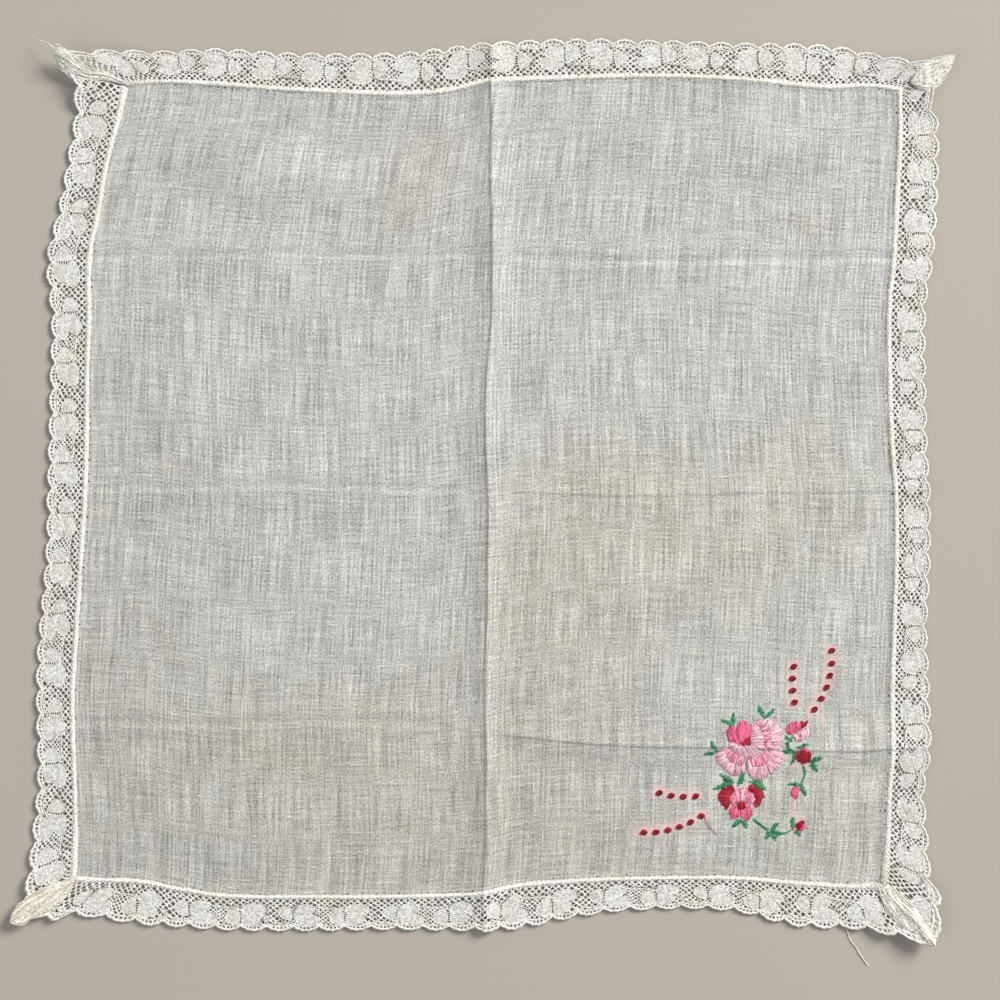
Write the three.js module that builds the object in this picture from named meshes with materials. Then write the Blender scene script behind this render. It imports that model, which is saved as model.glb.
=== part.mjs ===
// A lace-trimmed handkerchief: a square of sheer lawn with a rolled hem, and four strips of scalloped
// lace sewn round it. It lies flat, with the creases of its old folds as soft ridges and troughs, and
// with the gathered lace at its four corners lifted a little.
// Millimetres, +Z up. The origin is on the surface it lies on, under the middle of its outline. +X runs
// to its right and +Y to its top.
import * as THREE from 'three';

// ---- Driving sizes -------------------------------------------------------------------------------

const CLOTH_THICKNESS = 1.0;
const HEM_THICKNESS = 1.4;
const HEM_WIDTH = 1.6;
const HEM_SLOPE = 0.8;

const LACE_THICKNESS = 1.1;
const FOOTING_THICKNESS = 1.4;
const FOOTING_WIDTH = 2.4;
const EAR_THICKNESS = 2.6;
const EAR_REACH = 17;

const SEAM_GAP = 0.32;
const MITRE_GAP = 0.36;

const SCALLOPS_ON_A_SIDE = 32;
const STEPS_ON_A_SCALLOP = 4;
const LARGE_SCALLOP = 1.5;
const SMALL_SCALLOP = 1.0;
const SCALLOP_MIDLINE = 0.6;
const LACE_STEPS = SCALLOPS_ON_A_SIDE * STEPS_ON_A_SCALLOP;

// As shares of the cloth's width or height.
const WIDEST_CELL = 0.085;
const CREASE_PULL = 0.14;

// ---- Tables --------------------------------------------------------------------------------------

// A side is a row for each bend of its seam, from one corner to the next.
// along: where the row lies, measured along the side. seam: how far out the seam lies there.
// lace: how wide the lace is there. lean: how much further along the side the lace's outer edge lies.
const TOP_SIDE = [
  { along: -120.4, seam: 138.3, lace: 12.3, lean: -23.9 },
  { along: -115, seam: 138.9, lace: 10.6, lean: -14 },
  { along: -106, seam: 139.3, lace: 10.0, lean: -4 },
  { along: -90, seam: 138.4, lace: 11.6, lean: 0 },
  { along: -66, seam: 136.6, lace: 12.0, lean: 0 },
  { along: -30, seam: 135.0, lace: 13.4, lean: 0 },
  { along: -12, seam: 136.0, lace: 14.2, lean: 0 },
  { along: 1.5, seam: 139.0, lace: 12.8, lean: 0 },
  { along: 28, seam: 140.4, lace: 12.8, lean: 0 },
  { along: 60, seam: 141.1, lace: 11.7, lean: 0 },
  { along: 88, seam: 140.0, lace: 11.9, lean: 0 },
  { along: 117, seam: 137.3, lace: 13.6, lean: 1 },
  { along: 131, seam: 137.9, lace: 10.0, lean: 4.5 },
  { along: 137, seam: 137.4, lace: 9.4, lean: 11 },
  { along: 141.2, seam: 136.5, lace: 10.7, lean: 18.8 },
];
const RIGHT_SIDE = [
  { along: -132.2, seam: 135.5, lace: 18.4, lean: -21.3 },
  { along: -129, seam: 136.0, lace: 19.2, lean: -14 },
  { along: -123, seam: 136.8, lace: 15.0, lean: -11 },
  { along: -113, seam: 137.5, lace: 13.2, lean: -4 },
  { along: -102, seam: 138.0, lace: 11.6, lean: 0 },
  { along: -88, seam: 138.9, lace: 12.6, lean: 0 },
  { along: -67, seam: 138.9, lace: 12.3, lean: 0 },
  { along: -47, seam: 139.6, lace: 10.9, lean: 0 },
  { along: -24, seam: 140.3, lace: 11.2, lean: 0 },
  { along: -2, seam: 140.2, lace: 11.3, lean: 0 },
  { along: 18, seam: 138.8, lace: 11.7, lean: 0 },
  { along: 43, seam: 137.9, lace: 12.0, lean: 0 },
  { along: 64, seam: 137.9, lace: 12.2, lean: 0 },
  { along: 79, seam: 139.3, lace: 13.0, lean: 0 },
  { along: 103, seam: 140.6, lace: 13.4, lean: 0 },
  { along: 124, seam: 141.6, lace: 12.5, lean: 1 },
  { along: 133, seam: 141.5, lace: 11.0, lean: 3.5 },
  { along: 136.5, seam: 141.2, lace: 18.8, lean: 10.7 },
];
const BOTTOM_SIDE = [
  { along: -137.8, seam: 130.2, lace: 15.0, lean: -22.2 },
  { along: -134, seam: 130.6, lace: 13.9, lean: -16 },
  { along: -127, seam: 130.9, lace: 11.6, lean: -11 },
  { along: -115, seam: 131.4, lace: 13.9, lean: -2 },
  { along: -102, seam: 134.1, lace: 12.4, lean: 0 },
  { along: -86, seam: 136.4, lace: 11.2, lean: 0 },
  { along: -60, seam: 136.7, lace: 11.2, lean: 0 },
  { along: -30, seam: 136.7, lace: 10.8, lean: 0 },
  { along: -2, seam: 135.5, lace: 12.2, lean: 0 },
  { along: 12, seam: 132.8, lace: 14.2, lean: 0 },
  { along: 28, seam: 131.4, lace: 12.5, lean: 0 },
  { along: 50, seam: 130.6, lace: 10.4, lean: 0 },
  { along: 84, seam: 130.3, lace: 10.7, lean: 0 },
  { along: 108, seam: 131.9, lace: 14.3, lean: 0 },
  { along: 125, seam: 133.0, lace: 14.2, lean: 4 },
  { along: 132, seam: 132.6, lace: 17.2, lean: 11 },
  { along: 135.5, seam: 132.2, lace: 21.3, lean: 18.4 },
];
const LEFT_SIDE = [
  { along: -130.2, seam: 137.8, lace: 22.2, lean: -15.0 },
  { along: -127, seam: 137.6, lace: 17.5, lean: -10 },
  { along: -121, seam: 137.4, lace: 15.1, lean: -5 },
  { along: -112, seam: 137.2, lace: 13.9, lean: 0 },
  { along: -98, seam: 137.7, lace: 12.2, lean: 0 },
  { along: -70, seam: 138.4, lace: 11.9, lean: 0 },
  { along: -55, seam: 137.6, lace: 12.4, lean: 0 },
  { along: -20, seam: 135.4, lace: 11.7, lean: 0 },
  { along: 2, seam: 134.0, lace: 12.5, lean: 0 },
  { along: 38, seam: 133.4, lace: 12.2, lean: 0 },
  { along: 60, seam: 132.8, lace: 12.4, lean: 0 },
  { along: 79, seam: 132.6, lace: 14.0, lean: 0 },
  { along: 97, seam: 129.4, lace: 13.2, lean: 0 },
  { along: 111, seam: 127.0, lace: 13.0, lean: 0 },
  { along: 125, seam: 123.3, lace: 14.0, lean: 2 },
  { along: 133, seam: 121.4, lace: 16.2, lean: 4.6 },
  { along: 138.3, seam: 120.4, lace: 23.9, lean: 12.3 },
];

// The creases of the old folds, a row for each. start, middle and end are how far across the cloth the
// crease lies, as a share of its width or height, from its bottom to its top or from its left to its
// right. A ridge stands up along the crease. A trough touches the surface there, with a low swell on
// each side.
const UPRIGHT_CREASES = [
  { shape: 'ridge', start: 0.508, middle: 0.497, end: 0.47, rise: 2.4, reach: 11 },
];
const LEVEL_CREASES = [
  { shape: 'trough', start: 0.786, middle: 0.784, end: 0.785, rise: 1.3, reach: 15 },
  { shape: 'trough', start: 0.489, middle: 0.496, end: 0.496, rise: 1.0, reach: 13 },
  { shape: 'trough', start: 0.202, middle: 0.186, end: 0.159, rise: 1.4, reach: 15 },
];

// Low swells where the cloth was pulled out of square, a row for each. across and up: its middle, as
// shares of the cloth's width and height. length, width and rise: its size. turn: in degrees.
const SWELLS = [
  { across: 0.2, up: 0.9, length: 44, width: 17, rise: 1.6, turn: -8 },
  { across: 0.8, up: 0.92, length: 50, width: 16, rise: 1.2, turn: 6 },
  { across: 0.1, up: 0.62, length: 34, width: 15, rise: 1.1, turn: 80 },
  { across: 0.9, up: 0.34, length: 38, width: 15, rise: 1.2, turn: 86 },
  { across: 0.93, up: 0.08, length: 30, width: 13, rise: 1.6, turn: 55 },
  { across: 0.2, up: 0.07, length: 42, width: 15, rise: 1.2, turn: 5 },
];

// How high the tip of each corner's gathered lace stands off the surface.
const EAR_LIFTS = { topLeft: 5.0, topRight: 2.6, bottomLeft: 2.0, bottomRight: 4.6 };

// The four sides. upright: whether it runs up rather than across. out: the way from the cloth to the lace,
// towards + or -. first and last: the corners it runs between.
const TOP = { rows: TOP_SIDE, upright: false, out: 1, first: 'topLeft', last: 'topRight' };
const RIGHT = { rows: RIGHT_SIDE, upright: true, out: 1, first: 'bottomRight', last: 'topRight' };
const BOTTOM = { rows: BOTTOM_SIDE, upright: false, out: -1, first: 'bottomLeft', last: 'bottomRight' };
const LEFT = { rows: LEFT_SIDE, upright: true, out: -1, first: 'bottomLeft', last: 'topLeft' };

const FINISHES = {
  cloth: { color: '#c9c6bd', roughness: 0.9, metalness: 0 },
  lace: { color: '#e8e2d2', roughness: 0.85, metalness: 0 },
};

// ---- Outline -------------------------------------------------------------------------------------

// One column of a table at a place along it, on a smooth curve through the rows.
function follow(rows, column, along) {
  const last = rows.length - 1;
  let k = 0;
  while (k < last - 1 && along > rows[k + 1].along) {
    k += 1;
  }
  const slopeAt = (i) => {
    const before = rows[Math.max(i - 1, 0)];
    const after = rows[Math.min(i + 1, last)];
    return (after[column] - before[column]) / (after.along - before.along);
  };
  const from = rows[k];
  const to = rows[k + 1];
  const span = to.along - from.along;
  const t = (along - from.along) / span;
  const bend = t * t * (3 - 2 * t);
  const rise = t * (1 - t) * span * ((1 - t) * slopeAt(k) - t * slopeAt(k + 1));
  return from[column] + (to[column] - from[column]) * bend + rise;
}

// The place along a side for a share of its length.
function alongSide(side, share) {
  const first = side.rows[0].along;
  const last = side.rows[side.rows.length - 1].along;
  return first + (last - first) * share;
}

// A point from how far along a side it is and how far out.
function sidePoint(side, along, outward) {
  const across = side.out * outward;
  return side.upright ? new THREE.Vector2(across, along) : new THREE.Vector2(along, across);
}

function seamPoint(side, share) {
  const along = alongSide(side, share);
  return sidePoint(side, along, follow(side.rows, 'seam', along));
}

// A point of the cloth, blended from its four edges (a Coons patch).
function clothPoint(across, up) {
  const sides = seamPoint(BOTTOM, across).multiplyScalar(1 - up);
  sides.addScaledVector(seamPoint(TOP, across), up);
  sides.addScaledVector(seamPoint(LEFT, up), 1 - across);
  sides.addScaledVector(seamPoint(RIGHT, up), across);
  sides.addScaledVector(seamPoint(BOTTOM, 0), -(1 - across) * (1 - up));
  sides.addScaledVector(seamPoint(BOTTOM, 1), -across * (1 - up));
  sides.addScaledVector(seamPoint(TOP, 0), -(1 - across) * up);
  sides.addScaledVector(seamPoint(TOP, 1), -across * up);
  return sides;
}

// ---- Relief --------------------------------------------------------------------------------------

const CLOTH_WIDTH = seamPoint(RIGHT, 0.5).x - seamPoint(LEFT, 0.5).x;
const CLOTH_HEIGHT = seamPoint(TOP, 0.5).y - seamPoint(BOTTOM, 0.5).y;

// Where a crease lies at a share of its own length: a smooth line through its start, middle and end.
function creaseAt(crease, share) {
  const bend = 2 * crease.middle - (crease.start + crease.end) / 2;
  return crease.start * (1 - share) ** 2 + 2 * bend * share * (1 - share) + crease.end * share ** 2;
}

// How high the cloth lies at a distance from a crease, given in millimetres.
function creaseHeight(crease, distance) {
  const off = Math.abs(distance) / crease.reach;
  if (off >= 1) {
    return 0;
  }
  if (crease.shape === 'ridge') {
    return crease.rise * (1 - off) ** 2;
  }
  return crease.rise * Math.sin(Math.PI * off) ** 2;
}

function swellHeight(swell, across, up) {
  const turn = THREE.MathUtils.degToRad(swell.turn);
  const x = (across - swell.across) * CLOTH_WIDTH;
  const y = (up - swell.up) * CLOTH_HEIGHT;
  const lengthways = (x * Math.cos(turn) + y * Math.sin(turn)) / swell.length;
  const sideways = (y * Math.cos(turn) - x * Math.sin(turn)) / swell.width;
  const off = Math.hypot(lengthways, sideways);
  return off >= 1 ? 0 : swell.rise * (1 - off * off) ** 2;
}

// How high the cloth's underside lies: the highest of its creases and swells, and otherwise flat.
function clothHeight(across, up) {
  const heights = [
    ...UPRIGHT_CREASES.map((crease) => creaseHeight(crease, (across - creaseAt(crease, up)) * CLOTH_WIDTH)),
    ...LEVEL_CREASES.map((crease) => creaseHeight(crease, (up - creaseAt(crease, across)) * CLOTH_HEIGHT)),
    ...SWELLS.map((swell) => swellHeight(swell, across, up)),
  ];
  return Math.max(...heights);
}

// ---- Solids --------------------------------------------------------------------------------------

// A closed sheet from two like grids of points, one row after another: its upper and its lower face.
function sheetGeometry(upper, lower) {
  const rows = upper.length;
  const columns = upper[0].length;
  const positions = [...upper, ...lower].flat().flatMap((point) => point.toArray());
  const top = (i, j) => i * columns + j;
  const bottom = (i, j) => rows * columns + top(i, j);
  const faces = [];
  const quad = (a, b, c, d) => faces.push(a, b, c, a, c, d);
  for (let i = 0; i + 1 < rows; i += 1) {
    for (let j = 0; j + 1 < columns; j += 1) {
      quad(top(i, j), top(i, j + 1), top(i + 1, j + 1), top(i + 1, j));
      quad(bottom(i, j), bottom(i + 1, j), bottom(i + 1, j + 1), bottom(i, j + 1));
    }
    quad(top(i, 0), top(i + 1, 0), bottom(i + 1, 0), bottom(i, 0));
    quad(top(i + 1, columns - 1), top(i, columns - 1), bottom(i, columns - 1), bottom(i + 1, columns - 1));
  }
  for (let j = 0; j + 1 < columns; j += 1) {
    quad(top(0, j + 1), top(0, j), bottom(0, j), bottom(0, j + 1));
    quad(top(rows - 1, j), top(rows - 1, j + 1), bottom(rows - 1, j + 1), bottom(rows - 1, j));
  }
  const geometry = new THREE.BufferGeometry();
  geometry.setAttribute('position', new THREE.Float32BufferAttribute(positions, 3));
  geometry.setIndex(faces);
  geometry.computeVertexNormals();
  return geometry;
}

// The cloth's grid lines one way, as shares of its size: close together at the hems and at each crease,
// and a few more between them.
function gridLines(size, creaseLines) {
  const hem = [0, HEM_WIDTH / size, (HEM_WIDTH + HEM_SLOPE) / size];
  const lines = [...hem, ...hem.map((share) => 1 - share)];
  for (const { middle, reach } of creaseLines) {
    for (const step of [-1, -0.5, 0, 0.5, 1]) {
      lines.push(middle + step * reach / size);
    }
  }
  lines.sort((a, b) => a - b);
  const filled = [lines[0]];
  for (const next of lines.slice(1)) {
    const before = filled[filled.length - 1];
    const cells = Math.ceil((next - before) / WIDEST_CELL);
    for (let k = 1; k <= cells; k += 1) {
      filled.push(before + (next - before) * k / cells);
    }
  }
  return filled;
}

// Bends straight grid lines so that each crease's line runs along the crease.
function bentLine(line, creases, share) {
  let shift = 0;
  let weight = 0;
  for (const crease of creases) {
    const nearness = Math.max(0, 1 - Math.abs(line - crease.middle) / CREASE_PULL);
    shift += nearness * (creaseAt(crease, share) - crease.middle);
    weight += nearness;
  }
  return line + shift / Math.max(weight, 1);
}

const ACROSS_LINES = gridLines(CLOTH_WIDTH, UPRIGHT_CREASES);
const UP_LINES = gridLines(CLOTH_HEIGHT, LEVEL_CREASES);

function clothSolid() {
  const upper = [];
  const lower = [];
  UP_LINES.forEach((upLine, i) => {
    const edgeRow = Math.min(i, UP_LINES.length - 1 - i) < 2;
    upper.push([]);
    lower.push([]);
    ACROSS_LINES.forEach((acrossLine, j) => {
      const edgeColumn = Math.min(j, ACROSS_LINES.length - 1 - j) < 2;
      const across = bentLine(acrossLine, UPRIGHT_CREASES, upLine);
      const up = bentLine(upLine, LEVEL_CREASES, acrossLine);
      const { x, y } = clothPoint(across, up);
      const z = clothHeight(across, up);
      const thickness = edgeRow || edgeColumn ? HEM_THICKNESS : CLOTH_THICKNESS;
      upper[i].push(new THREE.Vector3(x, y, z + thickness));
      lower[i].push(new THREE.Vector3(x, y, z));
    });
  });
  return sheetGeometry(upper, lower);
}

// The seam as the cloth's solid has it: straight from one grid line to the next.
function sewnPoint(side, share) {
  const creases = side.upright ? LEVEL_CREASES : UPRIGHT_CREASES;
  const end = side.out > 0 ? 1 : 0;
  const lines = (side.upright ? UP_LINES : ACROSS_LINES).map((line) => bentLine(line, creases, end));
  let k = 0;
  while (k < lines.length - 2 && share > lines[k + 1]) {
    k += 1;
  }
  const from = seamPoint(side, lines[k]);
  const to = seamPoint(side, lines[k + 1]);
  const t = (share - lines[k]) / (lines[k + 1] - lines[k]);
  const heights = [lines[k], lines[k + 1]].map((line) => sideHeight(side, line));
  const outward = new THREE.Vector2(to.y - from.y, from.x - to.x).normalize();
  if (outward.dot(sidePoint(side, 0, 1)) < 0) {
    outward.negate();
  }
  return { point: from.clone().lerp(to, t), outward, height: THREE.MathUtils.lerp(...heights, t) };
}

// The cloth's height at a seam.
function sideHeight(side, share) {
  const end = side.out > 0 ? 1 : 0;
  return side.upright ? clothHeight(end, share) : clothHeight(share, end);
}

// How far a scallop bulges out past the valleys beside it, from its number and the share of it passed.
function scallopBulge(number, share) {
  const size = number % 2 ? SMALL_SCALLOP : LARGE_SCALLOP;
  return size * (Math.sin(Math.PI * share) - SCALLOP_MIDLINE);
}

// How near a place on a side is to one of its corners, from 0 to 1 at the corner itself.
function earNearness(along, corner) {
  return Math.max(0, 1 - Math.abs(along - corner) / EAR_REACH);
}

// One row across a strip, from the seam out to the scallops: its points, their heights and thicknesses.
function laceRow(side, step) {
  const share = step / LACE_STEPS;
  const along = alongSide(side, share);
  const sewn = sewnPoint(side, share);
  const inner = sewn.point.clone().addScaledVector(sewn.outward, SEAM_GAP);

  const nearFirst = earNearness(along, alongSide(side, 0));
  const nearLast = earNearness(along, alongSide(side, 1));
  const ear = Math.max(nearFirst, nearLast);
  const corner = nearFirst > nearLast ? side.first : side.last;
  const lift = EAR_LIFTS[corner] * ear ** 2;

  const scallop = Math.floor(step / STEPS_ON_A_SCALLOP);
  const passed = step / STEPS_ON_A_SCALLOP - scallop;
  const bulge = scallopBulge(scallop, passed) * (1 - ear);
  const reach = follow(side.rows, 'seam', along) + follow(side.rows, 'lace', along) + bulge;
  const outer = sidePoint(side, along + follow(side.rows, 'lean', along), reach);

  // The end rows keep clear of the next strip, across the corner's seam.
  if (step === 0 || step === LACE_STEPS) {
    const clear = sidePoint(side, step === 0 ? 1 : -1, 0);
    const seamLine = outer.clone().sub(inner).normalize();
    clear.addScaledVector(seamLine, -clear.dot(seamLine)).setLength(MITRE_GAP / 2);
    inner.add(clear);
    outer.add(clear);
  }

  const footingShare = FOOTING_WIDTH / inner.distanceTo(outer);
  const places = [
    { out: 0, thickness: FOOTING_THICKNESS },
    { out: footingShare, thickness: FOOTING_THICKNESS },
    { out: 1, thickness: THREE.MathUtils.lerp(LACE_THICKNESS, EAR_THICKNESS, ear) },
  ];
  return places.map(({ out, thickness }) => {
    const { x, y } = inner.clone().lerp(outer, out);
    return { under: new THREE.Vector3(x, y, sewn.height + lift * out ** 1.5), thickness };
  });
}

function laceSolid(side) {
  const grid = [];
  for (let step = 0; step <= LACE_STEPS; step += 1) {
    grid.push(laceRow(side, step));
  }
  // The rows of a top or left strip turn the other way from a right or bottom one, seen from above.
  if (side.upright !== (side.out > 0)) {
    grid.reverse();
  }
  const lower = grid.map((row) => row.map(({ under }) => under));
  const upper = grid.map((row) => row.map(({ under, thickness }) => under.clone().setZ(under.z + thickness)));
  return sheetGeometry(upper, lower);
}

// ---- The handkerchief ----------------------------------------------------------------------------

function addPiece(group, name, geometry, finish) {
  const mesh = new THREE.Mesh(geometry, new THREE.MeshStandardMaterial(finish));
  mesh.name = name;
  group.add(mesh);
}

const handkerchief = new THREE.Group();
addPiece(handkerchief, 'cloth_panel', clothSolid(), FINISHES.cloth);
addPiece(handkerchief, 'lace_top', laceSolid(TOP), FINISHES.lace);
addPiece(handkerchief, 'lace_right', laceSolid(RIGHT), FINISHES.lace);
addPiece(handkerchief, 'lace_bottom', laceSolid(BOTTOM), FINISHES.lace);
addPiece(handkerchief, 'lace_left', laceSolid(LEFT), FINISHES.lace);

export default handkerchief;
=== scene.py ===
# %% [markdown]
# # A lace-trimmed handkerchief
#
# A square of sheer cotton lawn lies on a table with the creases of its old folds still in it. Scalloped
# machine lace is whipped round its four sides and bunched up at the corners, and a spray of roses is
# worked in one corner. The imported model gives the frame: where everything lies, in metres.

# %% Load the frame
import math
import random
from collections import namedtuple

import bmesh
import bpy
import numpy as np
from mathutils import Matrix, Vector, noise


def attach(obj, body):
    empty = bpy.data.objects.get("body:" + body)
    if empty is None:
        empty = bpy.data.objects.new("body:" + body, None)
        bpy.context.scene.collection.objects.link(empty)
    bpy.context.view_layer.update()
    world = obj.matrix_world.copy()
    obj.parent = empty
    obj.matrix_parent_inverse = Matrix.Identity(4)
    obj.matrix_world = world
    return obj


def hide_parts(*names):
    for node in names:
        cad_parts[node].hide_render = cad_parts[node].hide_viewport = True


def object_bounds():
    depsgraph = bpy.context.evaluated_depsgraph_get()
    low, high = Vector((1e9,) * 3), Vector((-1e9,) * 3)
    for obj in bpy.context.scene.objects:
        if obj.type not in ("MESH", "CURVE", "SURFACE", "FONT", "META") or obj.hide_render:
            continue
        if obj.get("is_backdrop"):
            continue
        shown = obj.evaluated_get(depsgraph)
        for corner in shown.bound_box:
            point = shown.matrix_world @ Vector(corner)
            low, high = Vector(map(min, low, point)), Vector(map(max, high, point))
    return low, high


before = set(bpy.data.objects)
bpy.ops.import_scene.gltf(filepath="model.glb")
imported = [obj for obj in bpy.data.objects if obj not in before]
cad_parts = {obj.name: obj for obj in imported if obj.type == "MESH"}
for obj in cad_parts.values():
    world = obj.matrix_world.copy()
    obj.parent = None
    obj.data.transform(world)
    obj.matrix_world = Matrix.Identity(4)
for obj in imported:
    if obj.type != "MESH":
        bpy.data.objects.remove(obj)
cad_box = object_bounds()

MM = 0.001
print("pieces:", sorted(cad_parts))

# %% [markdown]
# ## The camera, the table and the light
#
# The handkerchief lies flat, so the camera hangs straight above it. A long lens from further up would
# flatten it and a short one would lean the raised corners outwards, so a portrait lens is a fair middle.
# One big soft light from the top right rakes across the cloth and shows the creases. A wide dim one on
# the other side keeps their shaded flanks from going black.

# %% Camera
VIEW_WIDTH = 340 * MM
VIEW_CENTRE = Vector((6.3, -2.4, 0)) * MM
LENS = 85
SENSOR = 36

camera_data = bpy.data.cameras.new("camera")
camera_data.lens = LENS
camera_data.sensor_width = SENSOR
camera = bpy.data.objects.new("camera", camera_data)
camera.location = VIEW_CENTRE + Vector((0, 0, VIEW_WIDTH * LENS / SENSOR))
bpy.context.scene.collection.objects.link(camera)
bpy.context.scene.camera = camera
bpy.context.scene.view_settings.view_transform = "Standard"
print("camera height, m:", round(camera.location.z, 3))

# %% [markdown]
# Colours are picked as sRGB hex values, as a dyer's card gives them, but a shader works in linear
# light. One function turns the first into the second. Another adds a node to a material, with its
# options, its socket values and its links in one call.

# %% Colour and node helpers
def paint(hex_code):
    """An sRGB hex colour as the linear colour that a shader socket wants."""
    channels = [int(hex_code[i:i + 2], 16) / 255 for i in (1, 3, 5)]
    linear = [c / 12.92 if c <= 0.04045 else ((c + 0.055) / 1.055) ** 2.4 for c in channels]
    return (*linear, 1.0)


def add_node(tree, kind, sockets=None, **options):
    """Adds a node. sockets gives each input a value, or another node's output to link."""
    new = tree.nodes.new(kind)
    for name, value in options.items():
        setattr(new, name, value)
    for name, value in (sockets or {}).items():
        if isinstance(value, bpy.types.NodeSocket):
            tree.links.new(value, new.inputs[name])
        else:
            new.inputs[name].default_value = value
    return new


def new_material(name):
    """A material with an empty node tree."""
    material = bpy.data.materials.new(name)
    material.use_nodes = True
    material.node_tree.nodes.clear()
    return material, material.node_tree


# %% Table, lights and world
def add_light(name, location, size, power, colour):
    """A square soft light, turned towards the middle of the handkerchief."""
    data = bpy.data.lights.new(name, "AREA")
    data.size = size
    data.energy = power
    data.color = paint(colour)[:3]
    light = bpy.data.objects.new(name, data)
    light.location = location
    light.rotation_euler = (VIEW_CENTRE - Vector(location)).to_track_quat("-Z", "Y").to_euler()
    bpy.context.scene.collection.objects.link(light)


add_light("window", (2.07, 1.60, 1.89), 1.25, 139.0, "#FFFDF9")
add_light("fill", (-1.20, -0.80, 1.30), 1.50, 9.0, "#F4F6FF")

world = bpy.data.worlds.new("room")
world.use_nodes = True
world.node_tree.nodes["Background"].inputs["Color"].default_value = paint("#D9DBDD")
world.node_tree.nodes["Background"].inputs["Strength"].default_value = 0.52
bpy.context.scene.world = world

TABLE_SIZE = 3.0
table_bm = bmesh.new()
bmesh.ops.create_grid(table_bm, x_segments=1, y_segments=1, size=TABLE_SIZE / 2)
table_mesh = bpy.data.meshes.new("table")
table_bm.to_mesh(table_mesh)
table_bm.free()
table = bpy.data.objects.new("table", table_mesh)
bpy.context.scene.collection.objects.link(table)

material, tree = new_material("matt painted board")
shader = add_node(tree, "ShaderNodeBsdfPrincipled", {"Base Color": paint("#A9A198"), "Roughness": 0.8})
add_node(tree, "ShaderNodeOutputMaterial", {"Surface": shader.outputs[0]})
table_mesh.materials.append(material)
table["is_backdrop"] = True

# %% [markdown]
# ## The shape of the cloth
#
# A hand-sewn handkerchief is never square. Each side is a short table: how far out its seam lies, how
# wide the lace is there, and how far the lace's outer edge leans towards a corner. A smooth curve runs
# through the rows. These are the tables the solids were made from, in millimetres. Only their ends differ,
# where the lace stops short under the gathered corners.

# %% Tables of the four sides
Bend = namedtuple("Bend", "along seam lace lean")
TOP_BENDS = [Bend(*row) for row in (
    (-120.4, 138.3, 9.8, -19.1), (-115, 138.9, 10.4, -11), (-106, 139.3, 10.0, -4),
    (-90, 138.4, 11.6, 0), (-66, 136.6, 12.0, 0), (-30, 135.0, 13.4, 0), (-12, 136.0, 14.2, 0),
    (1.5, 139.0, 12.8, 0), (28, 140.4, 12.8, 0), (60, 141.1, 11.7, 0), (88, 140.0, 11.9, 0),
    (117, 137.3, 13.6, 1), (131, 137.9, 10.0, 4.5), (137, 137.4, 9.0, 7), (141.2, 136.5, 8.6, 15),
)]
RIGHT_BENDS = [Bend(*row) for row in (
    (-132.2, 135.5, 16.9, -19.6), (-129, 136.0, 18.6, -10.5), (-123, 136.8, 14.8, -7),
    (-113, 137.5, 13.2, -4), (-102, 138.0, 11.6, 0), (-88, 138.9, 12.6, 0), (-67, 138.9, 12.3, 0),
    (-47, 139.6, 10.9, 0), (-24, 140.3, 11.2, 0), (-2, 140.2, 11.3, 0), (18, 138.8, 11.7, 0),
    (43, 137.9, 12.0, 0), (64, 137.9, 12.2, 0), (79, 139.3, 13.0, 0), (103, 140.6, 13.4, 0),
    (124, 141.6, 12.5, 1), (133, 141.5, 10.6, 1.5), (136.5, 141.2, 15, 8.6),
)]
BOTTOM_BENDS = [Bend(*row) for row in (
    (-137.8, 130.2, 11.3, -16.7), (-134, 130.6, 13.6, -12), (-127, 130.9, 11.6, -11),
    (-115, 131.4, 13.9, -2), (-102, 134.1, 12.4, 0), (-86, 136.4, 11.2, 0), (-60, 136.7, 11.2, 0),
    (-30, 136.7, 10.8, 0), (-2, 135.5, 12.2, 0), (12, 132.8, 14.2, 0), (28, 131.4, 12.5, 0),
    (50, 130.6, 10.4, 0), (84, 130.3, 10.7, 0), (108, 131.9, 14.3, 0), (125, 133.0, 14.2, 4),
    (132, 132.6, 16.6, 9), (135.5, 132.2, 19.6, 16.9),
)]
LEFT_BENDS = [Bend(*row) for row in (
    (-130.2, 137.8, 16.7, -11.3), (-127, 137.6, 15.6, -5), (-121, 137.4, 15.1, -5),
    (-112, 137.2, 13.9, 0), (-98, 137.7, 12.2, 0), (-70, 138.4, 11.9, 0), (-55, 137.6, 12.4, 0),
    (-20, 135.4, 11.7, 0), (2, 134.0, 12.5, 0), (38, 133.4, 12.2, 0), (60, 132.8, 12.4, 0),
    (79, 132.6, 14.0, 0), (97, 129.4, 13.2, 0), (111, 127.0, 13.0, 0), (125, 123.3, 14.0, 2),
    (133, 121.4, 15.4, 2), (138.3, 120.4, 17.1, 2.7),
)]

# %% The four sides
# upright: it runs up rather than across. out: from the cloth to the lace, towards + or -. forward: the
# lace was sewn on clockwise, so on two sides it runs against the table. first_slit and last_slit: where
# its first and last flowers fall, counted in sixteenths of the side in the way it was sewn. tall_first:
# whether the first of them is a tall flower.
Side = namedtuple("Side", "bends upright out first last forward first_slit last_slit slits tall_first")
SIDES = {
    "top": Side(TOP_BENDS, False, 1, "top_left", "top_right", True, 1.17, 15.0, 15, True),
    "right": Side(RIGHT_BENDS, True, 1, "bottom_right", "top_right", False, 0.93, 15.5, 16, True),
    "bottom": Side(BOTTOM_BENDS, False, -1, "bottom_left", "bottom_right", False, 0.53, 15.38, 16, True),
    "left": Side(LEFT_BENDS, True, -1, "bottom_left", "top_left", True, 1.25, 15.33, 15, False),
}

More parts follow.
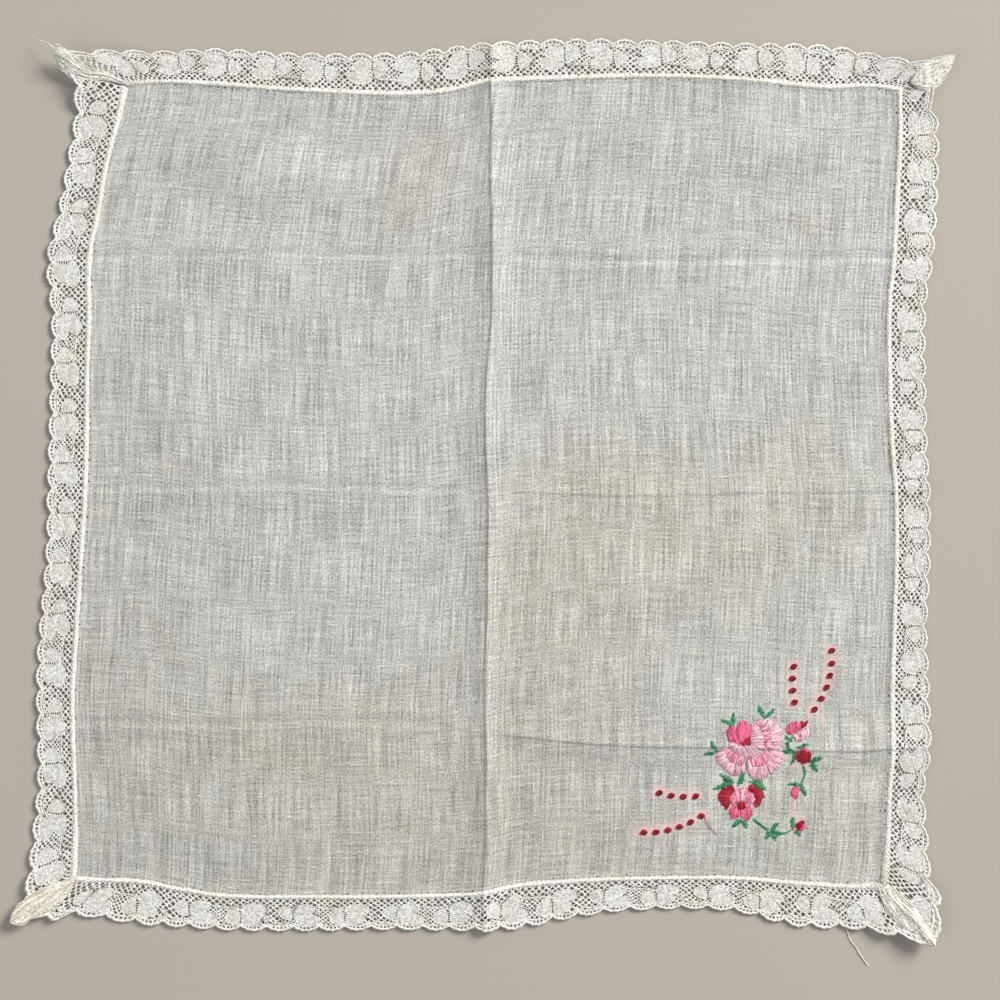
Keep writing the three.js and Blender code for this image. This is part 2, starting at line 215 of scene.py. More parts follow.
# %% A smooth curve through a table
def follow(bends, column, along):
    """One column of a side's table at a place along it, on a smooth curve through the rows."""
    last = len(bends) - 1
    k = 0
    while k < last - 1 and along > bends[k + 1].along:
        k += 1

    def slope_at(i):
        before, after = bends[max(i - 1, 0)], bends[min(i + 1, last)]
        return (getattr(after, column) - getattr(before, column)) / (after.along - before.along)

    start, end = getattr(bends[k], column), getattr(bends[k + 1], column)
    span = bends[k + 1].along - bends[k].along
    t = (along - bends[k].along) / span
    bend = t * t * (3 - 2 * t)
    rise = t * (1 - t) * span * ((1 - t) * slope_at(k) - t * slope_at(k + 1))
    return start + (end - start) * bend + rise


# %% Lines along each side
# Each side is worked out once at many stations, so that thousands of points can be looked up at once.
STATIONS = np.linspace(0, 1, 1201)
EAR_REACH = 17
EAR_LIFTS = {"top_left": 5.0, "top_right": 2.6, "bottom_left": 2.0, "bottom_right": 4.6}


def side_point(side, along, outward):
    """A point from how far along a side it is and how far out."""
    across = side.out * outward
    return (across, along) if side.upright else (along, across)


def side_lines(side):
    """The seam, the lace's outer edge and the corners' lift at every station of a side."""
    start, end = side.bends[0].along, side.bends[-1].along
    lines = []
    for along in start + (end - start) * STATIONS:
        seam = follow(side.bends, "seam", along)
        lace = follow(side.bends, "lace", along)
        lean = follow(side.bends, "lean", along)
        near_first = max(0, 1 - (along - start) / EAR_REACH)
        near_last = max(0, 1 - (end - along) / EAR_REACH)
        corner = side.first if near_first > near_last else side.last
        lift = EAR_LIFTS[corner] * max(near_first, near_last) ** 2
        inner = side_point(side, along, seam)
        outer = side_point(side, along + lean, seam + lace)
        lines.append((*inner, *outer, lift))
    return np.array(lines).T


SIDE_LINES = {name: side_lines(side) for name, side in SIDES.items()}


def seam_at(name, share):
    """The seam's x and y at shares of a side."""
    return np.array([np.interp(share, STATIONS, line) for line in SIDE_LINES[name][:2]])


# %% Curves through charted points
def smooth_line(points, count, closed=False):
    """Points evenly spaced in number along a smooth curve through the charted ones (Catmull-Rom)."""
    rows = np.array(points, dtype=float)
    if closed:
        rows = np.vstack([rows[-1], rows, rows[:2]])
        spans = len(points)
    else:
        rows = np.vstack([2 * rows[0] - rows[1], rows, 2 * rows[-1] - rows[-2]])
        spans = len(points) - 1
    places = np.linspace(0, spans, count, endpoint=not closed)
    k = np.minimum(places.astype(int), spans - 1)
    t = (places - k)[:, None]
    before, start, end, after = (rows[k + i] for i in range(4))
    return 0.5 * (2 * start + (end - before) * t + (2 * before - 5 * start + 4 * end - after) * t ** 2
                  + (3 * start - before - 3 * end + after) * t ** 3)


# %% Chart of the creases and swells
# places: pairs of a share along the crease and how far over it lies there, as shares of the cloth. before
# and after: how far the cloth stands up along it in its first and second half, with a fold that goes down
# where it is below zero. Where two creases cross, one of them changes its way.
Crease = namedtuple("Crease", "places before after reach")
Swell = namedtuple("Swell", "across up length width rise turn")

# As shares of the cloth's width or height, and in millimetres.
UPRIGHT_CREASES = [
    Crease([(0, 0.507), (0.1, 0.506), (0.3, 0.503), (0.43, 0.499), (0.55, 0.4965), (0.63, 0.4985),
            (0.72, 0.505), (0.79, 0.501), (0.85, 0.493), (0.93, 0.482), (1, 0.4725)], 2.4, 2.4, 11),
]
LEVEL_CREASES = [
    Crease([(0, 0.782), (0.1, 0.785), (0.23, 0.798), (0.39, 0.7985), (0.5, 0.785), (0.61, 0.7725),
            (0.74, 0.771), (0.9, 0.784), (1, 0.788)], -0.8, -1.2, 13),
    Crease([(0, 0.49), (0.1, 0.495), (0.23, 0.511), (0.39, 0.508), (0.5, 0.495), (0.61, 0.481),
            (0.74, 0.479), (0.9, 0.4905), (1, 0.496)], -0.9, 0.7, 11),
    Crease([(0, 0.194), (0.1, 0.2), (0.23, 0.2145), (0.39, 0.2165), (0.5, 0.195), (0.61, 0.1725),
            (0.74, 0.163), (0.95, 0.1675), (1, 0.17)], -1.0, 1.6, 12),
]
SWELLS = [
    Swell(0.2, 0.9, 44, 17, 1.6, -8),
    Swell(0.8, 0.92, 50, 16, 1.2, 6),
    Swell(0.1, 0.62, 34, 15, 1.1, 80),
    Swell(0.9, 0.34, 38, 15, 1.2, 86),
    Swell(0.935, 0.09, 28, 8, 1.9, 60),
    Swell(0.2, 0.07, 42, 15, 1.2, 5),
]
# Where along itself a crease goes over from its first half to its second, and how long that takes.
CROSSING_FROM, CROSSING_SPAN = 0.44, 0.12
# How wide a valley's wall is above and below its line, and how deep its line goes into its swell.
VALLEY_ABOVE, VALLEY_BELOW, VALLEY_SHARE = 2.6, 1.3, 0.8
# The lip beside a ridge: how deep it is, how far from the line, how wide, and how slowly it ends.
LIP_DEPTH, LIP_AT, LIP_WIDTH, LIP_RETURN = 0.4, 0.75, 0.45, 2.4
CLOTH_WIDTH = float(seam_at("right", 0.5)[0] - seam_at("left", 0.5)[0])
CLOTH_HEIGHT = float(seam_at("top", 0.5)[1] - seam_at("bottom", 0.5)[1])
print("cloth, mm:", round(CLOTH_WIDTH, 1), "x", round(CLOTH_HEIGHT, 1))

# %% The cloth's outline
def cloth_outline(across, up):
    """The cloth's x and y, blended from its four seams (a Coons patch)."""
    edges = (1 - up) * seam_at("bottom", across) + up * seam_at("top", across)
    edges += (1 - across) * seam_at("left", up) + across * seam_at("right", up)
    corners = sum(beside * level * seam_at(name, end)[:, None]
                  for name, level in (("bottom", 1 - up), ("top", up))
                  for end, beside in ((0, 1 - across), (1, across)))
    return edges - corners


# %% How high the cloth lies
def crease_at(crease, share):
    """Where a crease lies at a share of its own length."""
    return np.interp(share, *smooth_line(crease.places, 121).T)


def crease_height(crease, distance, share):
    """How high the cloth lies at a distance from a crease, at a share of its length.

    A ridge is a sharp line with a little lip beside it, where the cloth was pressed flat. A valley is a
    sharp line too, in a low wide swell, and its wall below the line is the steeper one.
    """
    turn = np.clip((share - CROSSING_FROM) / CROSSING_SPAN, 0, 1)
    rise = crease.before + (crease.after - crease.before) * turn * turn * (3 - 2 * turn)
    off = np.minimum(np.abs(distance) / crease.reach, 1)
    swell = np.abs(rise) * (1 - off) ** 2
    beside = distance + LIP_AT
    lip = np.where(beside > 0, np.exp(-(beside / LIP_WIDTH) ** 2), np.exp(beside / LIP_RETURN))
    ridge = swell - LIP_DEPTH * lip * np.minimum(swell, 1)
    width = np.where(distance > 0, VALLEY_ABOVE, VALLEY_BELOW)
    valley = VALLEY_SHARE * swell * (1 - np.exp(-(distance / width) ** 2))
    return np.where(rise > 0, ridge, valley)


def swell_height(swell, across, up):
    """How high a swell lifts the cloth."""
    turn = math.radians(swell.turn)
    x = (across - swell.across) * CLOTH_WIDTH
    y = (up - swell.up) * CLOTH_HEIGHT
    lengthways = (x * math.cos(turn) + y * math.sin(turn)) / swell.length
    sideways = (y * math.cos(turn) - x * math.sin(turn)) / swell.width
    return swell.rise * np.maximum(1 - lengthways ** 2 - sideways ** 2, 0) ** 2


def cloth_height(across, up):
    """How high the cloth lies: the highest of its creases and swells, and otherwise flat."""
    heights = [crease_height(c, (across - crease_at(c, up)) * CLOTH_WIDTH, up) for c in UPRIGHT_CREASES]
    heights += [crease_height(c, (up - crease_at(c, across)) * CLOTH_HEIGHT, across) for c in LEVEL_CREASES]
    heights += [swell_height(swell, across, up) for swell in SWELLS]
    return np.max(heights, axis=0)


# %% [markdown]
# ## Making pieces and moving points
#
# Every piece below is shaped flat, in millimetres, where it is easy to draw, and then laid on the
# handkerchief. Moving a hundred thousand points one at a time is slow, so a mesh gives all of them to
# one array, the array is worked on whole, and the mesh takes it back.

# %% Points and meshes
def points_of(mesh):
    """All the points of a mesh as an array with a row for each."""
    flat = np.empty(len(mesh.vertices) * 3)
    mesh.vertices.foreach_get("co", flat)
    return flat.reshape(-1, 3)


def set_points(mesh, points):
    """Gives all the points of a mesh new places."""
    mesh.vertices.foreach_set("co", np.ascontiguousarray(points).ravel())
    mesh.update()


def to_metres(*meshes):
    """Turns meshes drawn in millimetres into the metres of the frame."""
    for mesh in meshes:
        set_points(mesh, points_of(mesh) * MM)


def mesh_from(bm, name):
    """Turns a bmesh into a smooth-shaded mesh, and frees it."""
    mesh = bpy.data.meshes.new(name)
    for face in bm.faces:
        face.smooth = True
    bm.to_mesh(mesh)
    bm.free()
    return mesh


def take_up(mesh):
    """A mesh as a bmesh again, for more work with operators. The mesh is removed."""
    bm = bmesh.new()
    bm.from_mesh(mesh)
    bpy.data.meshes.remove(mesh)
    return bm


# %% Pieces and waves
def new_piece(name, mesh, slot, *materials):
    """Puts a mesh on the handkerchief as a piece with the finishes given. Its slot is not used."""
    piece = bpy.data.objects.new(name, mesh)
    bpy.context.scene.collection.objects.link(piece)
    mesh.materials.clear()
    for finish in materials:
        mesh.materials.append(finish)
    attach(piece, "root")
    triangles = sum(len(face.vertices) - 2 for face in mesh.polygons)
    print(f"{name}: {triangles} triangles")
    return piece


def wave(points, size, seed):
    """A smooth random wave at each point, from about -1 to 1, with swells of the given size."""
    place = Vector((seed * 17.3, seed * 5.1, seed * 9.7))
    return np.array([noise.noise(Vector(p) / size + place) for p in points])


# %% [markdown]
# ## The cloth
#
# Cotton lawn is thin enough to take every crease. A cloth simulation would give folds of its own, and
# these are known ones, so the sheet is a grid laid on the relief, with its lines drawn close together at
# the creases and bent to run along them. The lace pulls at the hem when it is washed, which leaves
# short ripples square to the seam, and the rest of the cloth has a slight cockle.

# %% Grid lines of the cloth
FINE_STEP = 0.42
COARSE_STEP = 1.45
FINE_REACH = 6
CREASE_PULL = 0.14
# The embroidery lies between these shares, and there the colour on the points needs a closer grid.
EMBROIDERED = ((0.72, 0.96), (0.06, 0.33))
EMBROIDERED_STEP = 0.9


def spaced_lines(size, creases, embroidered):
    """Grid lines as shares of a size, close together near the creases, the hems and the embroidery."""
    lines = [0.0]
    while lines[-1] < 1:
        here = lines[-1]
        nearest = min(abs(here - place) for place in (0, 1, *(crease_at(crease, 0.5) for crease in creases)))
        blend = min(nearest * size / FINE_REACH, 1) ** 2
        step = FINE_STEP + (COARSE_STEP - FINE_STEP) * blend
        if embroidered[0] < here < embroidered[1]:
            step = min(step, EMBROIDERED_STEP)
        lines.append(here + step / size)
    return np.array(lines) / lines[-1]


def bent_lines(lines, creases, share):
    """Bends straight grid lines so that those beside a crease run along it."""
    shift = 0
    weight = 0
    for crease in creases:
        nearness = np.maximum(0, 1 - np.abs(lines - crease_at(crease, 0.5)) / CREASE_PULL)
        shift = shift + nearness * (crease_at(crease, share) - crease_at(crease, 0.5))
        weight = weight + nearness
    return lines + shift / np.maximum(weight, 1)


ACROSS_LINES = spaced_lines(CLOTH_WIDTH, UPRIGHT_CREASES, EMBROIDERED[0])
UP_LINES = spaced_lines(CLOTH_HEIGHT, LEVEL_CREASES, EMBROIDERED[1])
print("grid:", len(ACROSS_LINES), "x", len(UP_LINES))

# %% Surface of the cloth
CLOTH_LEVEL = 0.45
HEM_WIDTH = 1.6
HEM_RISE = 0.35
# The cloth's cockles, as the height, the size of the swells and the seed of each, and how far they may dip.
COCKLES = ((0.16, 23, 1), (0.07, 9, 2))
DEEPEST_DIP = -0.3
# The ripples at the seams are drawn out away from the seam, and die away from it.
RIPPLE_RISE = 0.34
RIPPLE_SIZE = 7
RIPPLE_DRAWN_OUT = 0.16
RIPPLE_REACH = 26


def cloth_surface(across, up):
    """The cloth's points, as rows of x, y and z in millimetres."""
    x, y = cloth_outline(across, up)
    z = cloth_height(across, up) + CLOTH_LEVEL
    to_side = np.minimum(across, 1 - across) * CLOTH_WIDTH
    to_end = np.minimum(up, 1 - up) * CLOTH_HEIGHT
    to_hem = np.minimum(to_side, to_end)
    z = z + HEM_RISE * np.clip(1 - to_hem / HEM_WIDTH, 0, 1) ** 0.5
    points = np.column_stack([x, y, z])

    flat = points * (1, 1, 0)
    cockle = sum(rise * wave(flat, size, seed) for rise, size, seed in COCKLES)
    side_ripple = wave(flat * (RIPPLE_DRAWN_OUT, 1, 0), RIPPLE_SIZE, 3) * np.exp(-to_side / RIPPLE_REACH)
    end_ripple = wave(flat * (1, RIPPLE_DRAWN_OUT, 0), RIPPLE_SIZE, 4) * np.exp(-to_end / RIPPLE_REACH)
    points[:, 2] += np.maximum(cockle + RIPPLE_RISE * (side_ripple + end_ripple), DEEPEST_DIP)
    return points


# %% Cloth panel
def cloth_sheet():
    """The cloth as one sheet, with its UV map running across and up it."""
    bm = bmesh.new()
    bm.loops.layers.uv.new("weave")
    columns, rows = len(ACROSS_LINES) - 1, len(UP_LINES) - 1
    bmesh.ops.create_grid(bm, x_segments=columns, y_segments=rows, size=0.5, calc_uvs=True)
    mesh = mesh_from(bm, "cloth_panel")
    points = points_of(mesh)
    straight_across = ACROSS_LINES[np.rint((points[:, 0] + 0.5) * columns).astype(int)]
    straight_up = UP_LINES[np.rint((points[:, 1] + 0.5) * rows).astype(int)]
    across = bent_lines(straight_across, UPRIGHT_CREASES, straight_up)
    up = bent_lines(straight_up, LEVEL_CREASES, straight_across)
    set_points(mesh, cloth_surface(across, up) * MM)

    corner_points = np.empty(len(mesh.loops), dtype=int)
    mesh.loops.foreach_get("vertex_index", corner_points)
    uv = np.column_stack([across, up])[corner_points]
    mesh.uv_layers[0].data.foreach_set("uv", uv.ravel())
    return mesh, across, up


cloth_mesh, cloth_across, cloth_up = cloth_sheet()

# %% [markdown]
# ## The lace
#
# This is a machine lace. A net of fine threads holds flowers of three closely worked petals each, and
# each flower's two right petals meet at a slit crossed by a few threads. Tall and low flowers take
# turns, with a looping stem between them. The outer edge is a row of scallops under a thick cord, and
# the inner edge is whipped to the hem. A texture would give all of this no thickness and no shadow, so
# the threads are real: the net is a sheet whose cells are opened by an inset, and the petals' outlines,
# the stems and the edge are round threads. The flowers are charted flat and then laid round the
# handkerchief.

# %% Chart of one flower of each kind
# along: from the flower's slit. out: from the seam. Both in millimetres, going round each petal and
# along each stem.
REPEAT = 17.1
TALL_PETALS = [
    [(-0.6, 10.6), (-0.6, 7.7), (-1.7, 7.1), (-4.4, 7.1), (-6.4, 8.2), (-6.3, 10.2), (-3.8, 11.2),
     (-1.3, 11.2)],
    [(-0.1, 6.2), (-0.9, 4.3), (-3.8, 3.4), (-7.0, 4.0), (-8.2, 5.7), (-7.0, 7.3), (-3.8, 6.9), (-1.1, 7.0)],
    [(0.6, 10.5), (0.6, 7.0), (1.5, 5.8), (3.7, 6.5), (5.2, 8.4), (4.5, 10.4), (2.1, 11.2)],
]
LOW_PETALS = [
    [(-1.3, 10.0), (-3.0, 8.4), (-6.3, 7.5), (-8.9, 8.7), (-8.7, 10.5), (-5.6, 11.4), (-2.3, 11.1)],
    [(-0.6, 8.9), (-0.7, 6.2), (-2.0, 4.1), (-5.0, 3.3), (-7.4, 4.4), (-6.8, 6.6), (-3.4, 8.1)],
    [(0.6, 8.9), (0.6, 5.6), (1.7, 4.2), (3.9, 4.9), (4.9, 7.0), (3.4, 8.9), (1.6, 9.4)],
]
TALL_STEM = [(-1.0, 6.4), (0.8, 5.6), (3.1, 5.0), (6.9, 4.9), (9.6, 4.6), (11.6, 4.0)]
LOW_STEM = [(-3.1, 8.1), (-1.6, 9.1), (0.3, 10.2), (2.6, 10.9), (5.7, 10.7), (8.0, 9.7), (10.2, 7.9),
            (12.4, 6.6)]
Flower = namedtuple("Flower", "petals stem slit_low slit_high")
TALL = Flower(TALL_PETALS, TALL_STEM, 6.6, 10.3)
LOW = Flower(LOW_PETALS, LOW_STEM, 5.1, 8.9)

# %% Points inside an outline
def inside(points, outline):
    """Which points lie inside a closed outline: a line from each crosses it an odd number of times."""
    x, y = points[:, :1], points[:, 1:2]
    start, end = outline, np.roll(outline, -1, axis=0)
    rises = (start[:, 1] > y) != (end[:, 1] > y)
    drop = np.where(end[:, 1] == start[:, 1], 1, end[:, 1] - start[:, 1])
    crossing = start[:, 0] + (y - start[:, 1]) / drop * (end[:, 0] - start[:, 0])
    return (rises & (x < crossing)).sum(axis=1) % 2 == 1


# %% Threads as round tubes
def thread_mesh(routes, radius, name, rounding=0, closed=False):
    """One mesh of many round threads. Each route is rows of x, y, z and how thick it is there."""
    curve = bpy.data.curves.new(name, "CURVE")
    curve.dimensions = "3D"
    curve.bevel_depth = radius
    curve.bevel_resolution = rounding
    curve.use_fill_caps = not closed
    for route in routes:
        spline = curve.splines.new("POLY")
        spline.points.add(len(route) - 1)
        route = np.asarray(route, dtype=float)
        spline.points.foreach_set("co", np.column_stack([route[:, :3], np.ones(len(route))]).ravel())
        spline.points.foreach_set("radius", route[:, 3])
        spline.use_cyclic_u = closed
    holder = bpy.data.objects.new(name, curve)
    mesh = bpy.data.meshes.new_from_object(holder)
    bpy.data.objects.remove(holder)
    bpy.data.curves.remove(curve)
    return mesh


def route_at(flat, height, thickness=1.0):
    """A thread's route from its flat points, its height and its thickness there."""
    ones = np.ones(len(flat))
    return np.column_stack([flat, ones * height, ones * thickness])


# %% The scalloped edge
LACE_WIDTH = 12.6
VALLEY_OUT = 11.45
SCALLOP_DEPTH = 1.85
ARCH_VALLEY_OUT = 10.6
ARCH_DEPTH = 1.25
PICOT_PITCH = 1.9
PICOT_RISE = 0.13


def edge_out(along, flower):
    """How far out the edge lies. Two scallops spring from each flower, which is counted in flowers."""
    scallop = np.abs(np.sin(2 * np.pi * flower)) ** 0.75
    return VALLEY_OUT + SCALLOP_DEPTH * scallop + PICOT_RISE * np.cos(2 * np.pi * along / PICOT_PITCH)


def arch_out(flower):
    """How far out the second cord lies, in a low arch under each scallop."""
    return ARCH_VALLEY_OUT + ARCH_DEPTH * np.abs(np.sin(2 * np.pi * flower)) ** 0.6


# %% The net
Net = namedtuple("Net", "cell_along rows thread drift")
OPEN_NET = Net(2.1, 6, 0.31, 0.5)
CLOSE_NET = Net(1.6, 8, 0.26, 0.3)
UNEVEN = (0.8, 1.0, 1.25)
NET_HEIGHT = 0.62
NET_THICKNESS = 0.34
HOLE_ROUNDNESS = 0.7
# Noise vectors start from the clock unless they are given a seed, and the net would differ at each run.
noise.seed_set(7)


def diamonds(columns, rows):
    """A flat net of diamonds in a square from 0 to 1: a grid with its middles joined to its corners."""
    bm = bmesh.new()
    bmesh.ops.create_grid(bm, x_segments=columns, y_segments=rows, size=0.5)
    straight = [edge for edge in bm.edges if not edge.is_boundary]
    bmesh.ops.poke(bm, faces=bm.faces[:])
    bmesh.ops.dissolve_edges(bm, edges=straight)
    bmesh.ops.translate(bm, verts=bm.verts[:], vec=(0.5, 0.5, 0))
    return bm


def open_cells(bm, thread_widths, thickness):
    """Opens each cell to a round hole inside a thread of its width, and makes the sheet thick.

    A width of 0 leaves a cell closed, and one below 0 takes it away.
    """
    faces = bm.faces[:]
    bmesh.ops.subdivide_edges(bm, edges=bm.edges[:], cuts=1)
    for width in sorted(set(thread_widths)):
        group = [face for face, w in zip(faces, thread_widths) if w == width]
        if width > 0:
            bmesh.ops.inset_individual(bm, faces=group, thickness=width)
            for face in group:
                middle = face.calc_center_median()
                reach = sum((vert.co - middle).length for vert in face.verts) / len(face.verts)
                for vert in face.verts:
                    even = middle + (vert.co - middle).normalized() * reach
                    vert.co = vert.co.lerp(even, HOLE_ROUNDNESS)
        if width != 0:
            bmesh.ops.delete(bm, geom=group, context="FACES")
    bmesh.ops.solidify(bm, geom=bm.faces[:], thickness=thickness)
    bmesh.ops.recalc_face_normals(bm, faces=bm.faces[:])


# %% [markdown]
# A petal is close cloth stitch inside a thick outline. A disc of rings is made once, with a circle and a
# few insets, and every petal is that disc stretched out to its charted outline, a little raised in the
# middle.

# %% Petals
PETAL_SIDES = 22
PETAL_RINGS = (0.1, 0.3, 0.3)
PETAL_HEIGHT = 0.36
PETAL_CROWN = 0.14
PETAL_THICKNESS = 0.22
PETAL_STATIONS = 240


def petal_disc():
    """A flat round disc of rings."""
    bm = bmesh.new()
    bmesh.ops.create_circle(bm, cap_ends=True, segments=PETAL_SIDES, radius=1)
    (middle,) = bm.faces
    for width in PETAL_RINGS:
        bmesh.ops.inset_individual(bm, faces=[middle], thickness=width)
    bmesh.ops.solidify(bm, geom=bm.faces[:], thickness=-PETAL_THICKNESS)
    return mesh_from(bm, "petal")


def petal_mesh(disc, outline):
    """The disc stretched to a closed outline."""
    points = points_of(disc)
    reach = np.hypot(points[:, 0], points[:, 1])
    turn = (np.arctan2(points[:, 1], points[:, 0]) / (2 * np.pi)) % 1
    dense = smooth_line(outline, PETAL_STATIONS, closed=True)
    middle = dense.mean(axis=0)
    edge = dense[np.rint(turn * PETAL_STATIONS).astype(int) % PETAL_STATIONS]
    lower = points[:, 2] - points[:, 2].min()
    flat = middle + (edge - middle) * np.minimum(reach, 1)[:, None]
    height = PETAL_HEIGHT + lower + PETAL_CROWN * (1 - np.minimum(reach, 1) ** 2)
    mesh = disc.copy()
    set_points(mesh, np.column_stack([flat, height]))
    return mesh


# %% Joining meshes
SHADE = "shade"


def join(parts, name):
    """Joins meshes into one. parts pairs each with its shade, kept on its points for the finish to read."""
    bm = bmesh.new()
    shade_layer = bm.verts.layers.float.new(SHADE)
    for mesh, shade in parts:
        known = len(bm.verts)
        bm.from_mesh(mesh)
        bpy.data.meshes.remove(mesh)
        bm.verts.ensure_lookup_table()
        for vert in bm.verts[known:]:
            vert[shade_layer] = shade
    return mesh_from(bm, name)


# %% How a side's lace is used up
FLOWERS = 16
LACE_LENGTH = FLOWERS * REPEAT
LACE_LEVEL = 0.15
RUFFLE, RUFFLE_SIZE = 0.3, 6.5
# The lace is as long as the line this far out on it, so it is gathered at the seam where it turns a corner.
GATHER_LINE = 0.65


def sewn_shares(name):
    """How much of its own length the lace has used up at each station, in the way it was sewn."""
    lines = SIDE_LINES[name]
    steps = np.hypot(*np.diff(lines[:2] + GATHER_LINE * (lines[2:4] - lines[:2]), axis=1))
    if not SIDES[name].forward:
        steps = steps[::-1]
    return np.concatenate([[0], np.cumsum(steps)]) / steps.sum()


SEWN = {name: sewn_shares(name) for name in SIDES}


def along_side(points, name):
    """Where flat lace lies along a side: its x and y, the corners' lift there and the share of the side."""
    share = np.interp(points[:, 0] / LACE_LENGTH, SEWN[name], STATIONS)
    if not SIDES[name].forward:
        share = 1 - share
    inner_x, inner_y, outer_x, outer_y, lift = (np.interp(share, STATIONS, line) for line in SIDE_LINES[name])
    out = points[:, 1] / LACE_WIDTH
    return inner_x + (outer_x - inner_x) * out, inner_y + (outer_y - inner_y) * out, lift, share


# %% Laying lace on a side
def stretch_at(name, along, out):
    """How much longer lace lies on the handkerchief than it was drawn, at one place."""
    x, y, _, _ = along_side(np.array([[along - 1, out], [along + 1, out]]), name)
    return min(max(math.dist((x[0], y[0]), (x[1], y[1])) / 2, 0.8), 2.2)


def lay_lace(points, name, seed):
    """Flat lace points laid along a side of the handkerchief, out from its seam."""
    side = SIDES[name]
    x, y, lift, share = along_side(points, name)
    end = np.full_like(share, 1.0 if side.out > 0 else 0.0)
    sewn = cloth_height(end, share) if side.upright else cloth_height(share, end)
    past_seam = np.maximum(points[:, 1] / LACE_WIDTH, 0)
    ruffle = RUFFLE * past_seam * (1 + wave(points * (1, 0.3, 0), RUFFLE_SIZE, seed))
    z = points[:, 2] + LACE_LEVEL + sewn + lift * past_seam ** 1.5 + ruffle
    return np.column_stack([x, y, z])


# %% [markdown]
# A side's lace is drawn flat, along one straight line, and joined from a few kinds of work: the flowers,
# the net round them with its pin holes, the cords on top of both, and the whipping at the seam. Each kind is
# a short function, and all of them share the measures below.

# %% Measures of the flat lace
FOOTING_WIDTH = 1.5
TALL_STEM_OUT = 4.9
# How thick each kind of cord is from its middle, and how high it lies.
OUTLINE, OUTLINE_HEIGHT = 0.19, 0.56
STEM, STEM_HEIGHT = 0.22, 0.66
ARCH_CORD, ARCH_HEIGHT, ARCH_STEP = 0.24, 0.6, 0.7
EDGE_CORD, EDGE_HEIGHT, EDGE_STEP = 0.44, 0.55, 0.42
SLIT_THREAD, SLIT_HEIGHT, SLIT_ENDS = 0.17, 0.55, ((-0.8, 0), (0.8, 0.1))
STITCH, STITCH_PITCH = 0.32, 0.38
TOOTH, TOOTH_EVERY = 0.3, 4
PETAL_SHADE, NET_SHADE, CORD_SHADE, FOOTING_SHADE = 0.0, 0.3, 0.6, 0.75

# %% Flowers of one side
SLIT_REACH, SLIT_THREADS, SLIT_MARGIN = 0.6, 5, 0.4
PETALS_OUT = 8
# Flowers past both ends of a strip, so that the pattern runs on to where it is cut.
MORE_FLOWERS = 3


def flower_places(name):
    """Each flower's number, and where its slit lies along the flat lace."""
    side = SIDES[name]
    numbers = np.arange(-MORE_FLOWERS, side.slits + MORE_FLOWERS)
    first, last = np.interp([side.first_slit, side.last_slit], STATIONS * FLOWERS, SEWN[name]) * LACE_LENGTH
    return numbers, first + numbers * (last - first) / (side.slits - 1)


def lace_flowers(name, numbers, slits, rng):
    """One side's flowers: charts of their petals, of their slits, of their stems and of the slits' threads.

    Where the lace fans out round a corner they are drawn narrower, and so keep their shape.
    """
    petals, openings, stems, slit_threads = [], [], [], []
    for number, slit in zip(numbers, slits):
        if not 0 < slit < LACE_LENGTH:
            continue
        flower = TALL if (number % 2 == 0) == SIDES[name].tall_first else LOW
        place = np.array([slit, 0])
        narrower = np.array([1 / stretch_at(name, slit, PETALS_OUT), 1])
        for petal in flower.petals:
            loose = [(rng.uniform(-0.15, 0.15), rng.uniform(-0.2, 0.2)) for _ in petal]
            chart = (np.array(petal) + loose) * narrower + place
            if chart[:, 0].min() >= 0 and chart[:, 0].max() <= LACE_LENGTH:
                petals.append(chart)
        stem = smooth_line(np.array(flower.stem) * narrower + place, 16)
        stems.append(stem[(stem[:, 0] > 0) & (stem[:, 0] < LACE_LENGTH)])
        low, high = flower.slit_low, flower.slit_high
        corners = [(-SLIT_REACH, low), (SLIT_REACH, low), (SLIT_REACH, high), (-SLIT_REACH, high)]
        openings.append(np.array(corners) + place)
        for out in np.linspace(low + SLIT_MARGIN, high - SLIT_MARGIN, SLIT_THREADS):
            slit_threads.append([(slit + reach, out + rise, SLIT_HEIGHT, 1) for reach, rise in SLIT_ENDS])
    return petals, openings, stems, slit_threads


# %% Net of one side
NET_START = 0.2
# How long the net's swells are along the lace, how many there are across it, and how much of its drift is
# each crossing's own.
NET_SWELL, NET_SWELLS_OUT, NET_LOOSE = 1.9, 5, 0.4
# How far the closed cells of the footing stay inside its edge.
NET_UNDER = 0.4
PIN_CELL, PIN_THREAD = 1.2, 0.4


def net_mesh(kind, seed, flower_at, tall_first, clear, rng):
    """One kind of net where it belongs, and none inside the outlines that are kept clear.

    The close kind lies above a tall flower's stem.
    """
    net = diamonds(round(LACE_LENGTH / kind.cell_along), kind.rows)
    for vert in net.verts:
        along, share = vert.co.x * LACE_LENGTH, vert.co.y
        top = arch_out(flower_at(along))
        drift = noise.noise_vector(Vector((along / NET_SWELL, share * NET_SWELLS_OUT, seed))) * kind.drift
        drift += Vector((rng.uniform(-1, 1), rng.uniform(-1, 1), 0)) * kind.drift * NET_LOOSE
        out = NET_START + (top - NET_START) * share + drift.y * math.sin(math.pi * share)
        vert.co = (along + drift.x, out, NET_HEIGHT)
    middles = np.array([face.calc_center_median()[:2] for face in net.faces])
    after_tall = (np.floor(flower_at(middles[:, 0])) % 2 == 0) == tall_first
    is_close = after_tall & (middles[:, 1] > TALL_STEM_OUT)
    threads = [kind.thread * rng.choice(UNEVEN) for _ in middles]
    widths = np.where(is_close == (kind is CLOSE_NET), threads, -1.0)
    widths[(middles[:, 1] < FOOTING_WIDTH - NET_UNDER) & (widths > 0)] = 0
    for outline in clear:
        widths[inside(middles, outline)] = -1
    open_cells(net, widths.tolist(), NET_THICKNESS)
    return mesh_from(net, "net")


